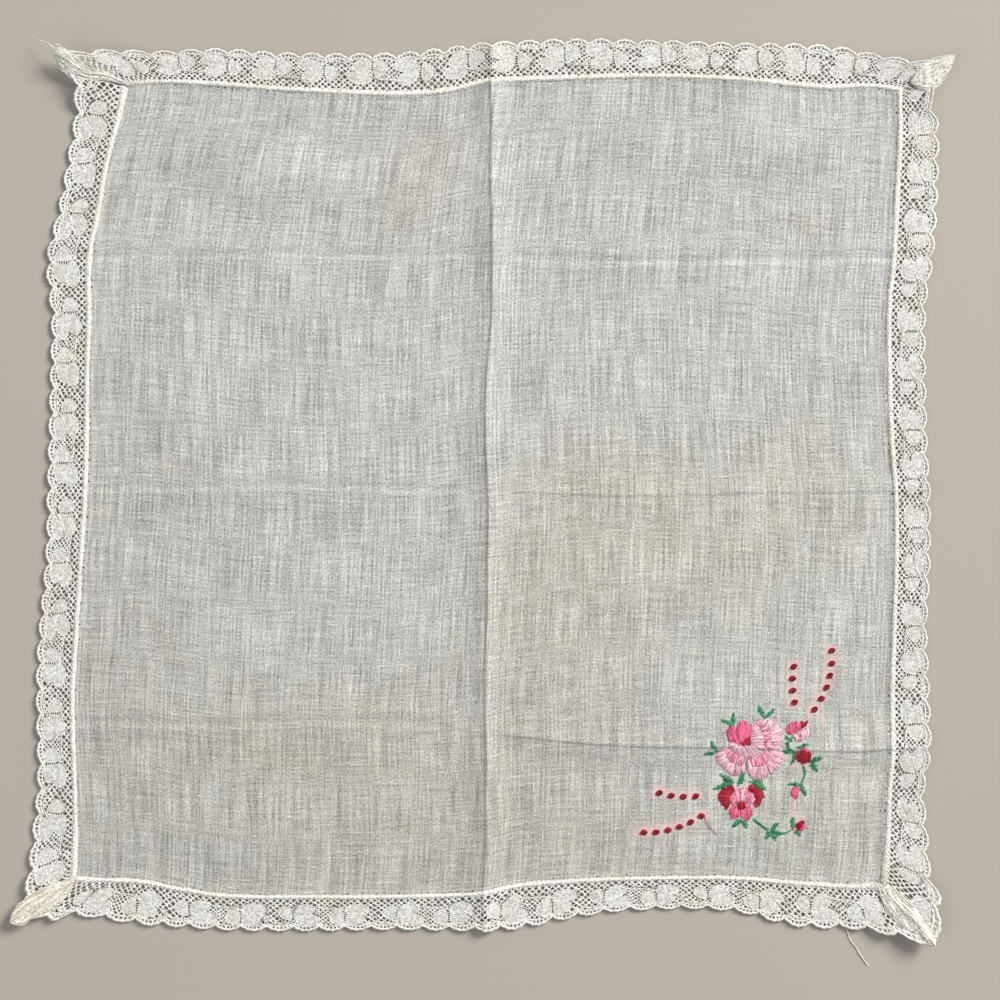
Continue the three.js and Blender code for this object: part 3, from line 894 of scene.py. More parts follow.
def pin_holes(flower_at):
    """The row of pin holes under the edge."""
    pins = bmesh.new()
    bmesh.ops.create_grid(pins, x_segments=round(LACE_LENGTH / PIN_CELL), y_segments=1, size=0.5)
    for vert in pins.verts:
        along = (vert.co.x + 0.5) * LACE_LENGTH
        low, high = arch_out(flower_at(along)), edge_out(along, flower_at(along))
        vert.co = (along, low if vert.co.y < 0 else high, NET_HEIGHT)
    open_cells(pins, [PIN_THREAD] * len(pins.faces), NET_THICKNESS)
    return mesh_from(pins, "pins")


# %% Cords of one side
def cord_parts(outlines, stems, slit_threads, flower_at, rng):
    """The cords: petal outlines, stems, the threads over the slits, the arches and the edge."""
    rings = [route_at(line, OUTLINE_HEIGHT, rng.uniform(0.75, 1.2)) for line in outlines]
    runs = [route_at(line, STEM_HEIGHT) for line in stems if len(line) > 3]
    places = np.linspace(0, LACE_LENGTH, round(LACE_LENGTH / ARCH_STEP))
    arch = route_at(np.column_stack([places, arch_out(flower_at(places))]), ARCH_HEIGHT)
    places = np.linspace(0, LACE_LENGTH, round(LACE_LENGTH / EDGE_STEP))
    edge = route_at(np.column_stack([places, edge_out(places, flower_at(places))]), EDGE_HEIGHT)
    return [
        (thread_mesh(rings, OUTLINE, "outlines", closed=True), CORD_SHADE),
        (thread_mesh(runs, STEM, "stems"), CORD_SHADE),
        (thread_mesh(slit_threads, SLIT_THREAD, "slits"), NET_SHADE),
        (thread_mesh([arch], ARCH_CORD, "arches"), CORD_SHADE),
        (thread_mesh([edge], EDGE_CORD, "edge", rounding=1), CORD_SHADE),
    ]


# %% Whipping of one side
def whipping_routes(rng):
    """The footing's stitches, whipped over and over to the hem so closely that they run together.

    Every few stitches one reaches further out, which gives the band its small teeth.
    """
    routes = []
    for number, along in enumerate(np.arange(0.4, LACE_LENGTH - 0.4, STITCH_PITCH)):
        lean = rng.uniform(0.45, 0.75)
        inner, outer = rng.uniform(-0.35, -0.1), FOOTING_WIDTH + rng.uniform(-0.25, 0.15)
        if number % TOOTH_EVERY == 0:
            outer += TOOTH
        top = rng.uniform(0.86, 0.92)
        routes.append([
            (along - lean, inner, 0.4, 0.6),
            (along - 0.5 * lean, inner + 0.5, top - 0.06, 1.05),
            (along, FOOTING_WIDTH / 2, top, 1.15),
            (along + 0.6 * lean, outer - 0.6, top - 0.1, 1.0),
            (along + lean, outer, 0.5, 0.5),
        ])
    return routes


# %% One side's lace, flat
def lace_parts(name, seed):
    """One side's lace, flat, as meshes with a shade each: its net and petals, its cords, its whipping."""
    rng = random.Random(seed)
    numbers, slits = flower_places(name)

    def flower_at(along):
        """How many flowers along the strip a place is."""
        return np.interp(along, slits, numbers)

    petals, openings, stems, slit_threads = lace_flowers(name, numbers, slits, rng)
    outlines = [smooth_line(chart, 26, closed=True) for chart in petals]
    disc = petal_disc()
    net = [(petal_mesh(disc, chart), PETAL_SHADE) for chart in petals]
    for kind in (OPEN_NET, CLOSE_NET):
        mesh = net_mesh(kind, seed, flower_at, SIDES[name].tall_first, outlines + openings, rng)
        net.append((mesh, NET_SHADE))
    net.append((pin_holes(flower_at), NET_SHADE))
    cords = cord_parts(outlines, stems, slit_threads, flower_at, rng)
    whipping = [(thread_mesh(whipping_routes(rng), STITCH, "whipping"), FOOTING_SHADE)]
    return {"net": net, "cords": cords, "whipping": whipping}


# %% All four sides of lace
lace_meshes = {}
for seed, name in enumerate(SIDES):
    for group, parts in lace_parts(name, seed).items():
        mesh = join(parts, f"lace_{group}_{name}")
        set_points(mesh, lay_lace(points_of(mesh), name, seed) * MM)
        lace_meshes[group, name] = mesh
        print(f"{group} of the {name} lace: {len(mesh.polygons)} faces")


# %% [markdown]
# ## The gathered corners
#
# Where two sides meet, the lace was bunched up and caught down over itself, so each corner ends in a
# little dense ear that stands off the table. Each ear is drawn between two lines from its root to its
# blunt tip. Both of its halves are cut from the same lace as the sides and squeezed together, so that
# the net closes up and the petals crumple. A pleated sheet beneath shows through them as the layers
# that lie under, and a few threads are drawn over the top, as they pull tight when lace is gathered.

# %% Chart of the corners
# left and right: the ear's two edges, from its root to its tip, in millimetres on the table. pleats: its
# folds. threads: how many drawn threads lie on it. rise: how far its middle stands above its edges.
# humps: the scallops left along each edge. shade: how yellow it has gone. cover: how far the pleated sheet
# stands up through the lace.
Ear = namedtuple("Ear", "corner side pleats threads rise humps shade cover left right")
EARS = [
    Ear("top_left", "top", 2, 7, 0.6, 2, 0.84, 0.5,
        [(-120.8, 139.8), (-127.6, 143.0), (-132.8, 144.0),
         (-136.3, 146.6), (-139.9, 149.2), (-144.4, 150.8)],
        [(-120.6, 138.4), (-127.4, 139.9), (-133.1, 139.7),
         (-138.2, 140.6), (-141.8, 143.0), (-143.8, 145.2)]),
    Ear("top_right", "top", 1, 8, 0.8, 3, 0.84, 0.6,
        [(145.6, 139.8), (147.6, 143.2), (149.8, 145.8), (153.6, 147.0), (157.0, 147.8), (160.2, 148.6)],
        [(146.0, 138.6), (149.4, 136.9), (152.6, 136.6), (155.4, 138.6), (158.0, 142.2), (160.4, 146.4)]),
    Ear("bottom_right", "bottom", 2, 9, 0.6, 0, 0.84, 0.45,
        [(138.6, -132.4), (143.4, -136.8), (147.4, -140.4),
         (150.6, -144.4), (153.0, -148.6), (154.4, -151.6)],
        [(134.4, -134.6), (137.0, -140.6), (140.6, -145.6),
         (144.9, -149.7), (148.4, -152.2), (151.4, -153.6)]),
    Ear("bottom_left", "bottom", 2, 10, 0.8, 3, 0.93, 0.45,
        [(-138.0, -130.6), (-144.8, -132.6), (-150.8, -135.2),
         (-155.2, -138.0), (-157.8, -140.8), (-160.0, -143.6)],
        [(-138.0, -132.2), (-141.6, -137.6), (-145.8, -141.0),
         (-150.8, -143.6), (-155.4, -146.0), (-158.8, -146.8)]),
]

# %% Measures of the ears
EAR_COLUMNS, EAR_ROWS = 44, 40
EAR_STATIONS = 61
EAR_SHEET = 0.4
EAR_THREAD = 0.17
TIP_SHARE = 0.17
EAR_LEVEL = 1.2
HUMP = 0.07
# The folds of an ear: its pleats, the lines drawn along it, and the short puckers between them.
PLEAT_RISE, DRAWN_RISE, PUCKER_RISE = 0.12, 0.28, 0.34
# How many swells there are across an ear and along it.
DRAWN_SWELLS = (13, 3.5)
PUCKER_SWELLS = (8, 11)
# A half of the gathered lace: how much lace there is to its length, how wide it lies, and how far it laps.
FULLNESS = 1.25
HALF_SPREAD, HALF_OVERLAP = 0.58, 0.08
# Where along the ear a half starts and how far it runs, how flat its threads are pressed, how far the
# second half lies over the first, and how much paler they are than the sheet.
HALF_START, HALF_RUN = 0.03, 0.95
PRESSED, HALF_OVER, HALF_PALER = 0.7, 0.2, 0.15
EAR_SHEET_WIDTH = 0.84

# %% Ear shapes
def corner_lift(ear, points):
    """How far the corner's strips lift the ear at each point: more towards its tip."""
    lines = SIDE_LINES[ear.side]
    at = 0 if ear.corner == SIDES[ear.side].first else -1
    root, tip = lines[:2, at], lines[2:4, at]
    axis = tip - root
    along = (points[:, :2] - root) @ axis / (axis @ axis)
    beside = np.abs((points[:, :2] - root) @ np.array([-axis[1], axis[0]])) / np.hypot(*axis)
    near = np.clip(1 - beside / EAR_REACH, 0, 1)
    return EAR_LIFTS[ear.corner] * near ** 2 * np.clip(along, 0, 1.1) ** 1.5


def ear_point(ear, share, length, height):
    """A point of an ear, from how far across it and along it lies, and how high. Its tip is rounded."""
    edges = [smooth_line(line, EAR_STATIONS) for line in (ear.left, ear.right)]
    marks = np.linspace(0, 1, EAR_STATIONS)
    spots = [np.column_stack([np.interp(length, marks, edge[:, i]) for i in (0, 1)]) for edge in edges]
    narrowing = np.sqrt(1 - np.clip((length - 1 + TIP_SHARE) / TIP_SHARE, 0, 0.93) ** 2)
    hump = 1 + HUMP * np.abs(np.sin(np.pi * ear.humps * length))
    share = 0.5 + (share - 0.5) * narrowing * hump
    flat = spots[0] + (spots[1] - spots[0]) * share[:, None]
    z = LACE_LEVEL + height + corner_lift(ear, flat)
    return np.column_stack([flat, z])


def ear_crown(ear, share, length):
    """How high an ear's folds stand: high in the middle, pleated and puckered, and lower at its root."""
    drawn = np.column_stack([share * DRAWN_SWELLS[0] + 3 * length, length * DRAWN_SWELLS[1], share * 0])
    puckers = np.column_stack([share * PUCKER_SWELLS[0], length * PUCKER_SWELLS[1], share * 0])
    folds = PLEAT_RISE * np.cos(2 * np.pi * ear.pleats * share + 2.2 * length)
    folds += DRAWN_RISE * wave(drawn, 1, ear.threads) + PUCKER_RISE * wave(puckers, 1, ear.threads + 1)
    body = np.clip(1 - (2 * share - 1) ** 2, 0, 1) ** 0.5
    rise = (ear.rise + folds) * (0.45 + 0.55 * np.sin(np.pi * np.clip(0.2 + 0.7 * length, 0, 1)))
    return EAR_LEVEL * (0.4 + 0.6 * np.clip(length / 0.3, 0, 1)) + body * rise


# %% Lace for the ears
def cut_off(mesh, start, length):
    """A length cut out of flat lace."""
    bm = bmesh.new()
    bm.from_mesh(mesh)
    outside = [vert for vert in bm.verts if not start < vert.co.x < start + length]
    bmesh.ops.delete(bm, geom=outside, context="VERTS")
    return mesh_from(bm, "length of lace")


flat_parts = lace_parts("top", 60)
ear_lace = join(flat_parts["net"] + flat_parts["cords"], "lace for the ears")
for mesh, _ in flat_parts["whipping"]:
    bpy.data.meshes.remove(mesh)


def gathered_lace(ear, half, start):
    """Half of an ear: a length of lace along it, bunched up from its middle to one of its edges."""
    edge = smooth_line(ear.left if half < 0 else ear.right, 40)
    length = FULLNESS * float(np.hypot(*np.diff(edge, axis=0).T).sum())
    piece = cut_off(ear_lace, start, length)
    points = points_of(piece)
    along = HALF_START + HALF_RUN * (points[:, 0] - start) / length
    share = 0.5 + half * (HALF_SPREAD * points[:, 1] / LACE_WIDTH - HALF_OVERLAP)
    height = ear_crown(ear, share, along) + PRESSED * points[:, 2] + (HALF_OVER if half > 0 else 0)
    set_points(piece, ear_point(ear, share, along, height))
    bm = take_up(piece)
    bmesh.ops.recalc_face_normals(bm, faces=bm.faces[:])
    return mesh_from(bm, "gathered lace")


# %% Ear meshes
def ear_mesh(ear, seed):
    """An ear: a pleated sheet, the two halves of gathered lace on it and a few threads drawn over them."""
    rng = random.Random(seed)
    bm = bmesh.new()
    bmesh.ops.create_grid(bm, x_segments=EAR_COLUMNS, y_segments=EAR_ROWS, size=0.5)
    sheet = mesh_from(bm, "ear")
    share, length = (points_of(sheet) * (EAR_SHEET_WIDTH, 1, 1) + 0.5)[:, :2].T
    set_points(sheet, ear_point(ear, share, length, ear_crown(ear, share, length) + ear.cover))
    bm = take_up(sheet)
    bmesh.ops.recalc_face_normals(bm, faces=bm.faces[:])
    if sum(face.normal.z for face in bm.faces) < 0:
        bmesh.ops.reverse_faces(bm, faces=bm.faces[:])
    bmesh.ops.solidify(bm, geom=bm.faces[:], thickness=EAR_SHEET)
    parts = [(mesh_from(bm, "ear"), ear.shade)]
    for half in (-1, 1):
        start = (rng.randrange(2, 12) + 0.4) * REPEAT
        parts.append((gathered_lace(ear, half, start), ear.shade - HALF_PALER))

    threads = []
    for number in range(ear.threads):
        start = (number + rng.uniform(0.1, 0.9)) / ear.threads
        end = np.clip(start + rng.uniform(-0.08, 0.08), 0.04, 0.96)
        first = rng.uniform(0, 0.6)
        length = np.linspace(first, min(first + rng.uniform(0.25, 0.7), 0.98), 10)
        share = start + (end - start) * length + 0.012 * np.sin(length * 9 + number)
        height = ear_crown(ear, share, length) + rng.uniform(0.6, 0.8)
        fade = np.sin(np.pi * np.linspace(0.08, 0.92, 10)) ** 0.4 * rng.uniform(0.7, 1.5)
        threads.append(np.column_stack([ear_point(ear, share, length, height), fade]))
    parts.append((thread_mesh(threads, EAR_THREAD, "drawn threads"), ear.shade))
    return join(parts, f"ear_{ear.corner}")


ear_meshes = {ear.corner: ear_mesh(ear, 40 + number) for number, ear in enumerate(EARS)}
to_metres(*ear_meshes.values())
print("gathered corners:", {corner: len(mesh.polygons) for corner, mesh in ear_meshes.items()}, "faces")

# %% [markdown]
# ## The rose spray
#
# The spray is hand embroidery in stranded cotton: two open roses, a few buds and leaves, and rows of dots
# that lead into it from both sides. It could be a bump in the cloth's finish, but satin stitch catches
# the light along each thread, so every stitch is a small arch of thread that goes down into the cloth at
# both ends. It is charted about its middle, in millimetres, and no maker's pattern is followed.

# %% Chart of the filled parts
SPRAY_AT = (93.0, -94.2)
STRAND = 0.19
STITCH_GAP = 0.27

# near and far: the two lines that the stitches run between. A blend is worked with pink and pale by turns.
Fill = namedtuple("Fill", "thread near far")
ROSE = [
    Fill("pale", [(-7.6, 9.8), (-4.4, 8.2), (-1.2, 8.3)],
         [(-9.3, 9.2), (-7.2, 6.0), (-3.8, 4.7), (0.0, 4.2), (2.6, 5.4)]),
    Fill("pale", [(-1.1, 8.4), (-1.0, 12.0), (-1.4, 15.4)],
         [(3.7, 7.2), (3.5, 11.0), (2.0, 14.4), (0.2, 16.6)]),
    Fill("pale", [(-9.6, 7.4), (-9.8, 4.6), (-7.6, 2.2), (-3.9, 1.8)],
         [(-11.8, 7.2), (-13.5, 4.6), (-11.4, 1.0), (-7.4, -1.8), (-3.7, -1.0)]),
    Fill("blend", [(-9.0, 7.6), (-6.8, 5.8), (-4.0, 4.6)], [(-11.0, 5.6), (-8.6, 2.2), (-4.5, 1.2)]),
    Fill("pale", [(-2.2, 3.8), (-0.6, 1.2), (3.0, 1.8), (5.2, 4.4), (5.0, 7.4)],
         [(-3.1, 1.0), (-1.6, -2.0), (1.4, -3.5), (6.2, -0.8), (9.6, 3.6), (8.9, 7.4)]),
    Fill("blend", [(-1.6, 4.2), (1.6, 4.8), (3.8, 6.8)], [(-0.8, 0.8), (3.0, 1.6), (5.8, 5.2)]),
    Fill("pale", [(-0.6, 14.8), (3.2, 15.0), (5.0, 12.0), (4.8, 8.0)],
         [(-1.2, 16.4), (2.6, 17.4), (7.0, 16.3), (9.4, 12.2), (8.5, 7.6)]),
    Fill("blend", [(1.4, 14.8), (3.0, 11.4), (3.4, 7.8)], [(3.7, 15.4), (5.1, 12.0), (5.3, 8.4)]),
    Fill("pink", [(-8.2, 9.8), (-5.2, 9.0), (-1.6, 11.6)],
         [(-9.2, 11.0), (-9.7, 14.0), (-7.8, 15.1), (-6.3, 14.3), (-5.2, 16.4), (-3.3, 16.5), (-1.8, 14.4)]),
    Fill("red", [(-4.5, 8.8), (-1.7, 8.7)], [(-4.3, 11.3), (-1.8, 11.4)]),
]
SMALL_ROSE = [
    Fill("red", [(-7.0, -6.4), (-8.4, -8.8), (-8.8, -11.8)],
         [(-8.0, -4.8), (-11.7, -6.6), (-12.6, -9.8), (-10.0, -13.4)]),
    Fill("red", [(-2.4, -6.6), (-0.4, -8.4), (-0.2, -11.4)],
         [(-1.4, -4.6), (2.0, -6.2), (3.1, -9.0), (0.6, -13.0)]),
    Fill("pink", [(-7.6, -12.0), (-5.6, -13.2)], [(-9.1, -14.2), (-7.8, -16.4), (-5.5, -15.9)]),
    Fill("pink", [(-4.7, -13.3), (-1.6, -12.2)], [(-4.8, -15.6), (-2.4, -17.2), (-0.8, -14.2)]),
    Fill("blend", [(-7.4, -11.8), (-5.6, -10.7), (-3.6, -10.7), (-1.4, -11.8)],
         [(-9.0, -9.2), (-6.9, -6.7), (-4.4, -5.9), (-1.9, -6.8), (0.3, -9.6)]),
    Fill("red", [(-6.0, -11.1), (-3.4, -11.1)], [(-5.7, -13.4), (-3.6, -13.4)]),
]
BUDS = [
    Fill("pale", [(12.8, 12.2), (15.2, 13.4), (17.9, 14.3)], [(13.2, 11.0), (15.4, 9.5), (18.3, 11.7)]),
    Fill("pink", [(11.2, 12.6), (13.2, 12.9), (15.7, 14.5)], [(10.7, 14.6), (12.8, 16.2), (15.7, 16.5)]),
    Fill("red", [(15.4, 14.4), (16.8, 15.0)], [(15.5, 16.4), (18.0, 16.7)]),
    Fill("red", [(13.9, 3.7), (16.3, 2.2), (18.7, 3.7)], [(14.0, 6.1), (16.4, 7.2), (18.8, 6.1)]),
    Fill("pink", [(14.9, 6.3), (16.4, 6.5), (18.0, 6.3)], [(14.8, 6.9), (16.4, 7.6), (18.1, 6.9)]),
    Fill("pink", [(13.0, -5.7), (15.4, -6.2)], [(12.2, -8.9), (13.8, -10.0)]),
    Fill("pink", [(14.2, -20.0), (15.2, -20.8)], [(16.9, -17.9), (17.5, -19.3)]),
    Fill("red", [(13.7, -18.4), (14.3, -20.2)], [(16.2, -16.9), (17.0, -18.6)]),
]

# %% Chart of the leaves, stems and dots
Leaf = namedtuple("Leaf", "base tip width")
LEAVES = [
    Leaf((-7.8, 15.6), (-11.2, 17.4), 1.1), Leaf((-7.4, 15.5), (-7.2, 19.5), 1.2),
    Leaf((3.4, 17.8), (1.3, 21.7), 1.3), Leaf((3.9, 17.8), (6.5, 20.6), 1.1),
    Leaf((-12.9, 6.6), (-15.0, 9.9), 1.2), Leaf((-12.9, 6.3), (-17.2, 5.7), 1.2),
    Leaf((-7.4, -4.2), (-11.8, -1.3), 2.1), Leaf((-8.0, -4.6), (-14.2, -6.3), 2.0),
    Leaf((-5.6, -5.1), (-3.5, -1.0), 1.5), Leaf((-1.4, -3.9), (2.4, -4.0), 1.7),
    Leaf((-0.6, -4.4), (3.8, -6.6), 1.8), Leaf((-5.2, -16.9), (-7.8, -19.2), 1.4),
    Leaf((-4.6, -16.9), (-2.9, -19.6), 1.4), Leaf((12.6, 9.9), (10.4, 11.8), 1.6),
    Leaf((11.0, 10.0), (10.7, 7.4), 1.0), Leaf((13.0, 6.4), (8.5, 6.8), 1.3),
    Leaf((13.8, 6.4), (12.2, 2.0), 1.3), Leaf((14.2, 7.9), (17.9, 8.7), 1.1),
    Leaf((18.8, 3.0), (22.8, 4.2), 1.6), Leaf((18.8, 2.9), (20.9, -0.4), 1.5),
    Leaf((15.9, -4.8), (11.5, -4.6), 1.2), Leaf((15.7, -4.8), (17.0, -8.6), 1.4),
    Leaf((5.4, -20.8), (8.0, -18.1), 1.7), Leaf((5.4, -20.9), (3.3, -23.0), 1.8),
    Leaf((5.8, -21.2), (7.0, -23.8), 1.7), Leaf((6.0, -20.9), (8.5, -21.9), 1.6),
    Leaf((12.9, -19.9), (13.1, -16.2), 1.5), Leaf((13.3, -20.4), (15.4, -22.1), 1.0),
]
STEMS = [
    [(16.4, 1.7), (16.9, -1.4), (15.6, -4.7)],
    [(-0.5, -16.5), (2.2, -18.8), (5.2, -20.8)],
    [(7.9, -21.3), (10.2, -21.4), (12.5, -20.2)],
    [(11.0, 9.2), (11.6, 7.4), (13.4, 6.2)],
]
# A row of dots bends away from the straight line between its ends by bow, to the left going along it.
DotRow = namedtuple("DotRow", "start end bow count")
DOT_ROWS = [
    DotRow((13.1, 35.2), (13.4, 23.0), -0.6, 4),
    DotRow((26.0, 40.6), (20.2, 20.6), 1.9, 6),
    DotRow((-32.6, -7.8), (-20.2, -8.9), -0.6, 4),
    DotRow((-37.8, -21.2), (-18.3, -15.6), -1.6, 6),
]
DOT_EDGE = [(-1.12, 0.1), (-0.72, 0.66), (0, 0.92), (0.72, 0.66), (1.12, 0.1)]
DOT_TILT = 0.45

# %% Satin stitch
# How high the stitches arch and how uneven their ends are. Each fill lies a little over the one before.
FILL_LIFT, FILL_STEP, FILL_RAGGED = 0.26, 0.02, 0.45
DOT_LIFT, DOT_RAGGED = 0.42, 0.08
LEAF_LIFT, LEAF_RAGGED, LEAF_GAP = 0.3, 0.42, 0.42
# A stitch goes down into the cloth at both ends, where it is thinner. In between, ARCH_OF_STITCH gives how
# far along it, how high and how thick.
STITCH_SINK, STITCH_END = -0.15, 0.8
ARCH_OF_STITCH = ((0.12, 0.8, 1), (0.5, 1, 1.1), (0.88, 0.8, 1))


def satin(near, far, rng, lift, ragged, gap=STITCH_GAP):
    """Stitches side by side between two lines, each a little arch of thread with uneven ends."""
    length = max(np.hypot(*np.diff(np.array(line, dtype=float), axis=0).T).sum() for line in (near, far))
    count = max(round(length / gap), 3)
    routes = []
    for start, end in zip(smooth_line(near, count), smooth_line(far, count)):
        run = (end - start) / max(np.hypot(*(end - start)), 1e-6)
        aside = np.array([-run[1], run[0]]) * ragged * 0.4
        start = start + run * rng.uniform(-1.5, 0.5) * ragged + aside * rng.uniform(-1, 1)
        end = end + run * rng.uniform(-1, 1) * ragged + aside * rng.uniform(-1, 1)
        top = lift * rng.uniform(0.75, 1.25)
        arch = [(t, share * top, thickness) for t, share, thickness in ARCH_OF_STITCH]
        rows = [(0, STITCH_SINK, STITCH_END), *arch, (1, STITCH_SINK, STITCH_END)]
        routes.append([(*(start + (end - start) * t), height, thickness) for t, height, thickness in rows])
    return routes


def leaf_sides(leaf):
    """The two bowed edges of a leaf."""
    base, tip = np.array(leaf.base), np.array(leaf.tip)
    along = tip - base
    beside = np.array([-along[1], along[0]]) / np.hypot(*along) * leaf.width / 2
    return [[base - along * 0.05 * turn, base + along * (0.45 + 0.12 * turn) + beside * turn, tip]
            for turn in (1, -1)]


def dot_sides(row, rng):
    """The two curved edges of each dot of a row. Every dot leans a little differently."""
    start, end = np.array(row.start), np.array(row.end)
    along = end - start
    beside = np.array([-along[1], along[0]]) / np.hypot(*along)
    for number in range(row.count):
        t = number / (row.count - 1)
        middle = start + along * t + beside * row.bow * 4 * t * (1 - t)
        turn = DOT_TILT + rng.uniform(-0.35, 0.25)
        lean = np.array([[math.cos(turn), math.sin(turn)], [-math.sin(turn), math.cos(turn)]])
        yield [middle + (np.array(DOT_EDGE) * (1, side)) @ lean for side in (1, -1)]


# %% All the stitches
# A stem is two rows of stitches side by side: the stations of its line, how many a stitch runs over, how
# many it starts after the one before, how high it lies and how far from the line.
STEM_STATIONS, STEM_STITCH, STEM_STEP = 30, 7, 4
STEM_LIFT, STEM_ASIDE = 0.2, 0.12

spray_rng = random.Random(77)
stitches = {"red": [], "pink": [], "pale": [], "green": []}
for number, fill in enumerate(ROSE + SMALL_ROSE + BUDS):
    routes = satin(fill.near, fill.far, spray_rng, FILL_LIFT + FILL_STEP * (number % 10), FILL_RAGGED)
    if fill.thread == "blend":
        stitches["pink"] += routes[::2]
        stitches["pale"] += routes[1::2]
    else:
        stitches[fill.thread] += routes
first_of_dots = len(stitches["red"])
for row in DOT_ROWS:
    for sides in dot_sides(row, spray_rng):
        stitches["red"] += satin(*sides, spray_rng, DOT_LIFT, DOT_RAGGED)
for leaf in LEAVES:
    stitches["green"] += satin(*leaf_sides(leaf), spray_rng, LEAF_LIFT, LEAF_RAGGED, LEAF_GAP)
for stem in STEMS:
    line = smooth_line(stem, STEM_STATIONS)
    starts = range(0, STEM_STATIONS - STEM_STITCH + 1, STEM_STEP)
    for shift in (-STEM_ASIDE, STEM_ASIDE):
        stitches["green"] += [route_at(line[k:k + STEM_STITCH] + shift, STEM_LIFT) for k in starts]
print("stitches:", {name: len(routes) for name, routes in stitches.items()})

# %% Stitches laid on the cloth
def share_of(flat):
    """Which shares of the cloth lie at flat points, in a few steps from a first guess."""
    across, up = flat[:, 0] / CLOTH_WIDTH + 0.5, flat[:, 1] / CLOTH_HEIGHT + 0.5
    for _ in range(4):
        x, y = cloth_outline(across, up)
        across = across + (flat[:, 0] - x) / CLOTH_WIDTH
        up = up + (flat[:, 1] - y) / CLOTH_HEIGHT
    return across, up


def lay_on_cloth(routes, place=(0, 0)):
    """Moves routes drawn about a place onto the cloth, following its relief."""
    rows = np.vstack([np.array(route, dtype=float) for route in routes])
    rows[:, :2] += place
    rows[:, 2] += cloth_surface(*share_of(rows[:, :2]))[:, 2]
    return np.split(rows, np.cumsum([len(route) for route in routes])[:-1])


# The stitches' tones are painted light and shade: each stitch lighter or darker as it turns to the light, and
# the dots darkest, a painted shade.
STITCH_LIGHT_TONES = (0.0, 0.3, 0.6, 1.0)
DOT_SHADE_TONE = STITCH_LIGHT_TONES[0]


def spray_mesh(name, routes):
    """One colour's stitches in a few painted tones of light and shade. The dots all take the darkest, a
    painted shade.
    """
    groups = {tone: [] for tone in STITCH_LIGHT_TONES}
    for number, route in enumerate(lay_on_cloth(routes, SPRAY_AT)):
        tone = spray_rng.choice(STITCH_LIGHT_TONES)
        is_dot = name == "spray_red" and number >= first_of_dots
        groups[DOT_SHADE_TONE if is_dot else tone].append(route)
    parts = [(thread_mesh(group, STRAND, "stitches", rounding=1), tone) for tone, group in groups.items()]
    return join(parts, name)


spray_meshes = {name: spray_mesh(f"spray_{name}", routes) for name, routes in stitches.items()}
to_metres(*spray_meshes.values())

# %% [markdown]
# Three loose ends of thread were never trimmed: two of the cotton that holds the lace, at the top left
# corner and under the bottom edge, and one of the red. They are far shorter than a hand's width and stiff
# at that length, so they are plain curved threads and not free cords.

# %% Thread ends
SEWING_THREAD, RED_THREAD = 0.2, 0.1
END_SHADE = 0.5
TOP_END = [(-141.6, 147.4, 6.2), (-144.4, 150.2, 6.6), (-146.0, 151.5, 6.3), (-147.6, 152.4, 5.4),
           (-150.2, 153.4, 3.8)]
TOP_LOOP = [(-144.3, 149.6, 6.0), (-143.9, 150.9, 6.7), (-142.9, 151.2, 6.9), (-141.6, 150.0, 6.5),
            (-140.2, 148.6, 5.6)]
BOTTOM_END = [(123.4, -144.8, 0.9), (124.2, -148.2, 0.35), (125.3, -151.8, 0.25), (127.4, -154.6, 0.25),
              (128.5, -156.6, 0.25), (131.4, -160.6, 0.25)]
RED_END = [(75.6, -109.2, 0.1), (76.6, -111.8, 0.45), (78.2, -114.2, 0.35), (80.2, -116.2, 0.3)]
ends = [np.column_stack([smooth_line(line, 24), np.ones(24)]) for line in (TOP_END, TOP_LOOP, BOTTOM_END)]
end_mesh = join([(thread_mesh(ends, SEWING_THREAD, "ends", rounding=1), END_SHADE)], "thread_ends")
red_end = lay_on_cloth([np.column_stack([smooth_line(RED_END, 18), np.ones(18)])])
red_end_mesh = join([(thread_mesh(red_end, RED_THREAD, "red end", rounding=1), END_SHADE)], "red_thread_end")
to_metres(end_mesh, red_end_mesh)

# %% [markdown]
# ## Age and painted shade on the cloth
#
# The cloth has yellowed unevenly in the drawer, mostly below and to the right of its middle, and is painted
# darker towards its left and lower edges, as painted shade where the light falls off. There are a few faint
# tea-coloured patches, the clearest near the top, and the red and green threads have bled a little into the
# lawn round the stitches. Each of these is a number kept on the cloth's points, and the finish mixes its
# colour by it, so a patch stays where it is on the cloth whatever the weave does.

# %% Chart of the stains and the painted shade
# Where each patch lies, as shares of the cloth, how far it reaches in millimetres, and how strong it is.
Patch = namedtuple("Patch", "across up reach strength")
YELLOWING = [
    Patch(0.62, 0.45, 34, 0.9), Patch(0.78, 0.42, 40, 0.6), Patch(0.55, 0.3, 45, 0.55),
    Patch(0.9, 0.5, 30, 0.5), Patch(0.35, 0.2, 26, 0.6), Patch(0.24, 0.19, 22, 0.5),
    Patch(0.98, 0.15, 40, 0.4), Patch(0.5, 0.03, 50, 0.5),
]
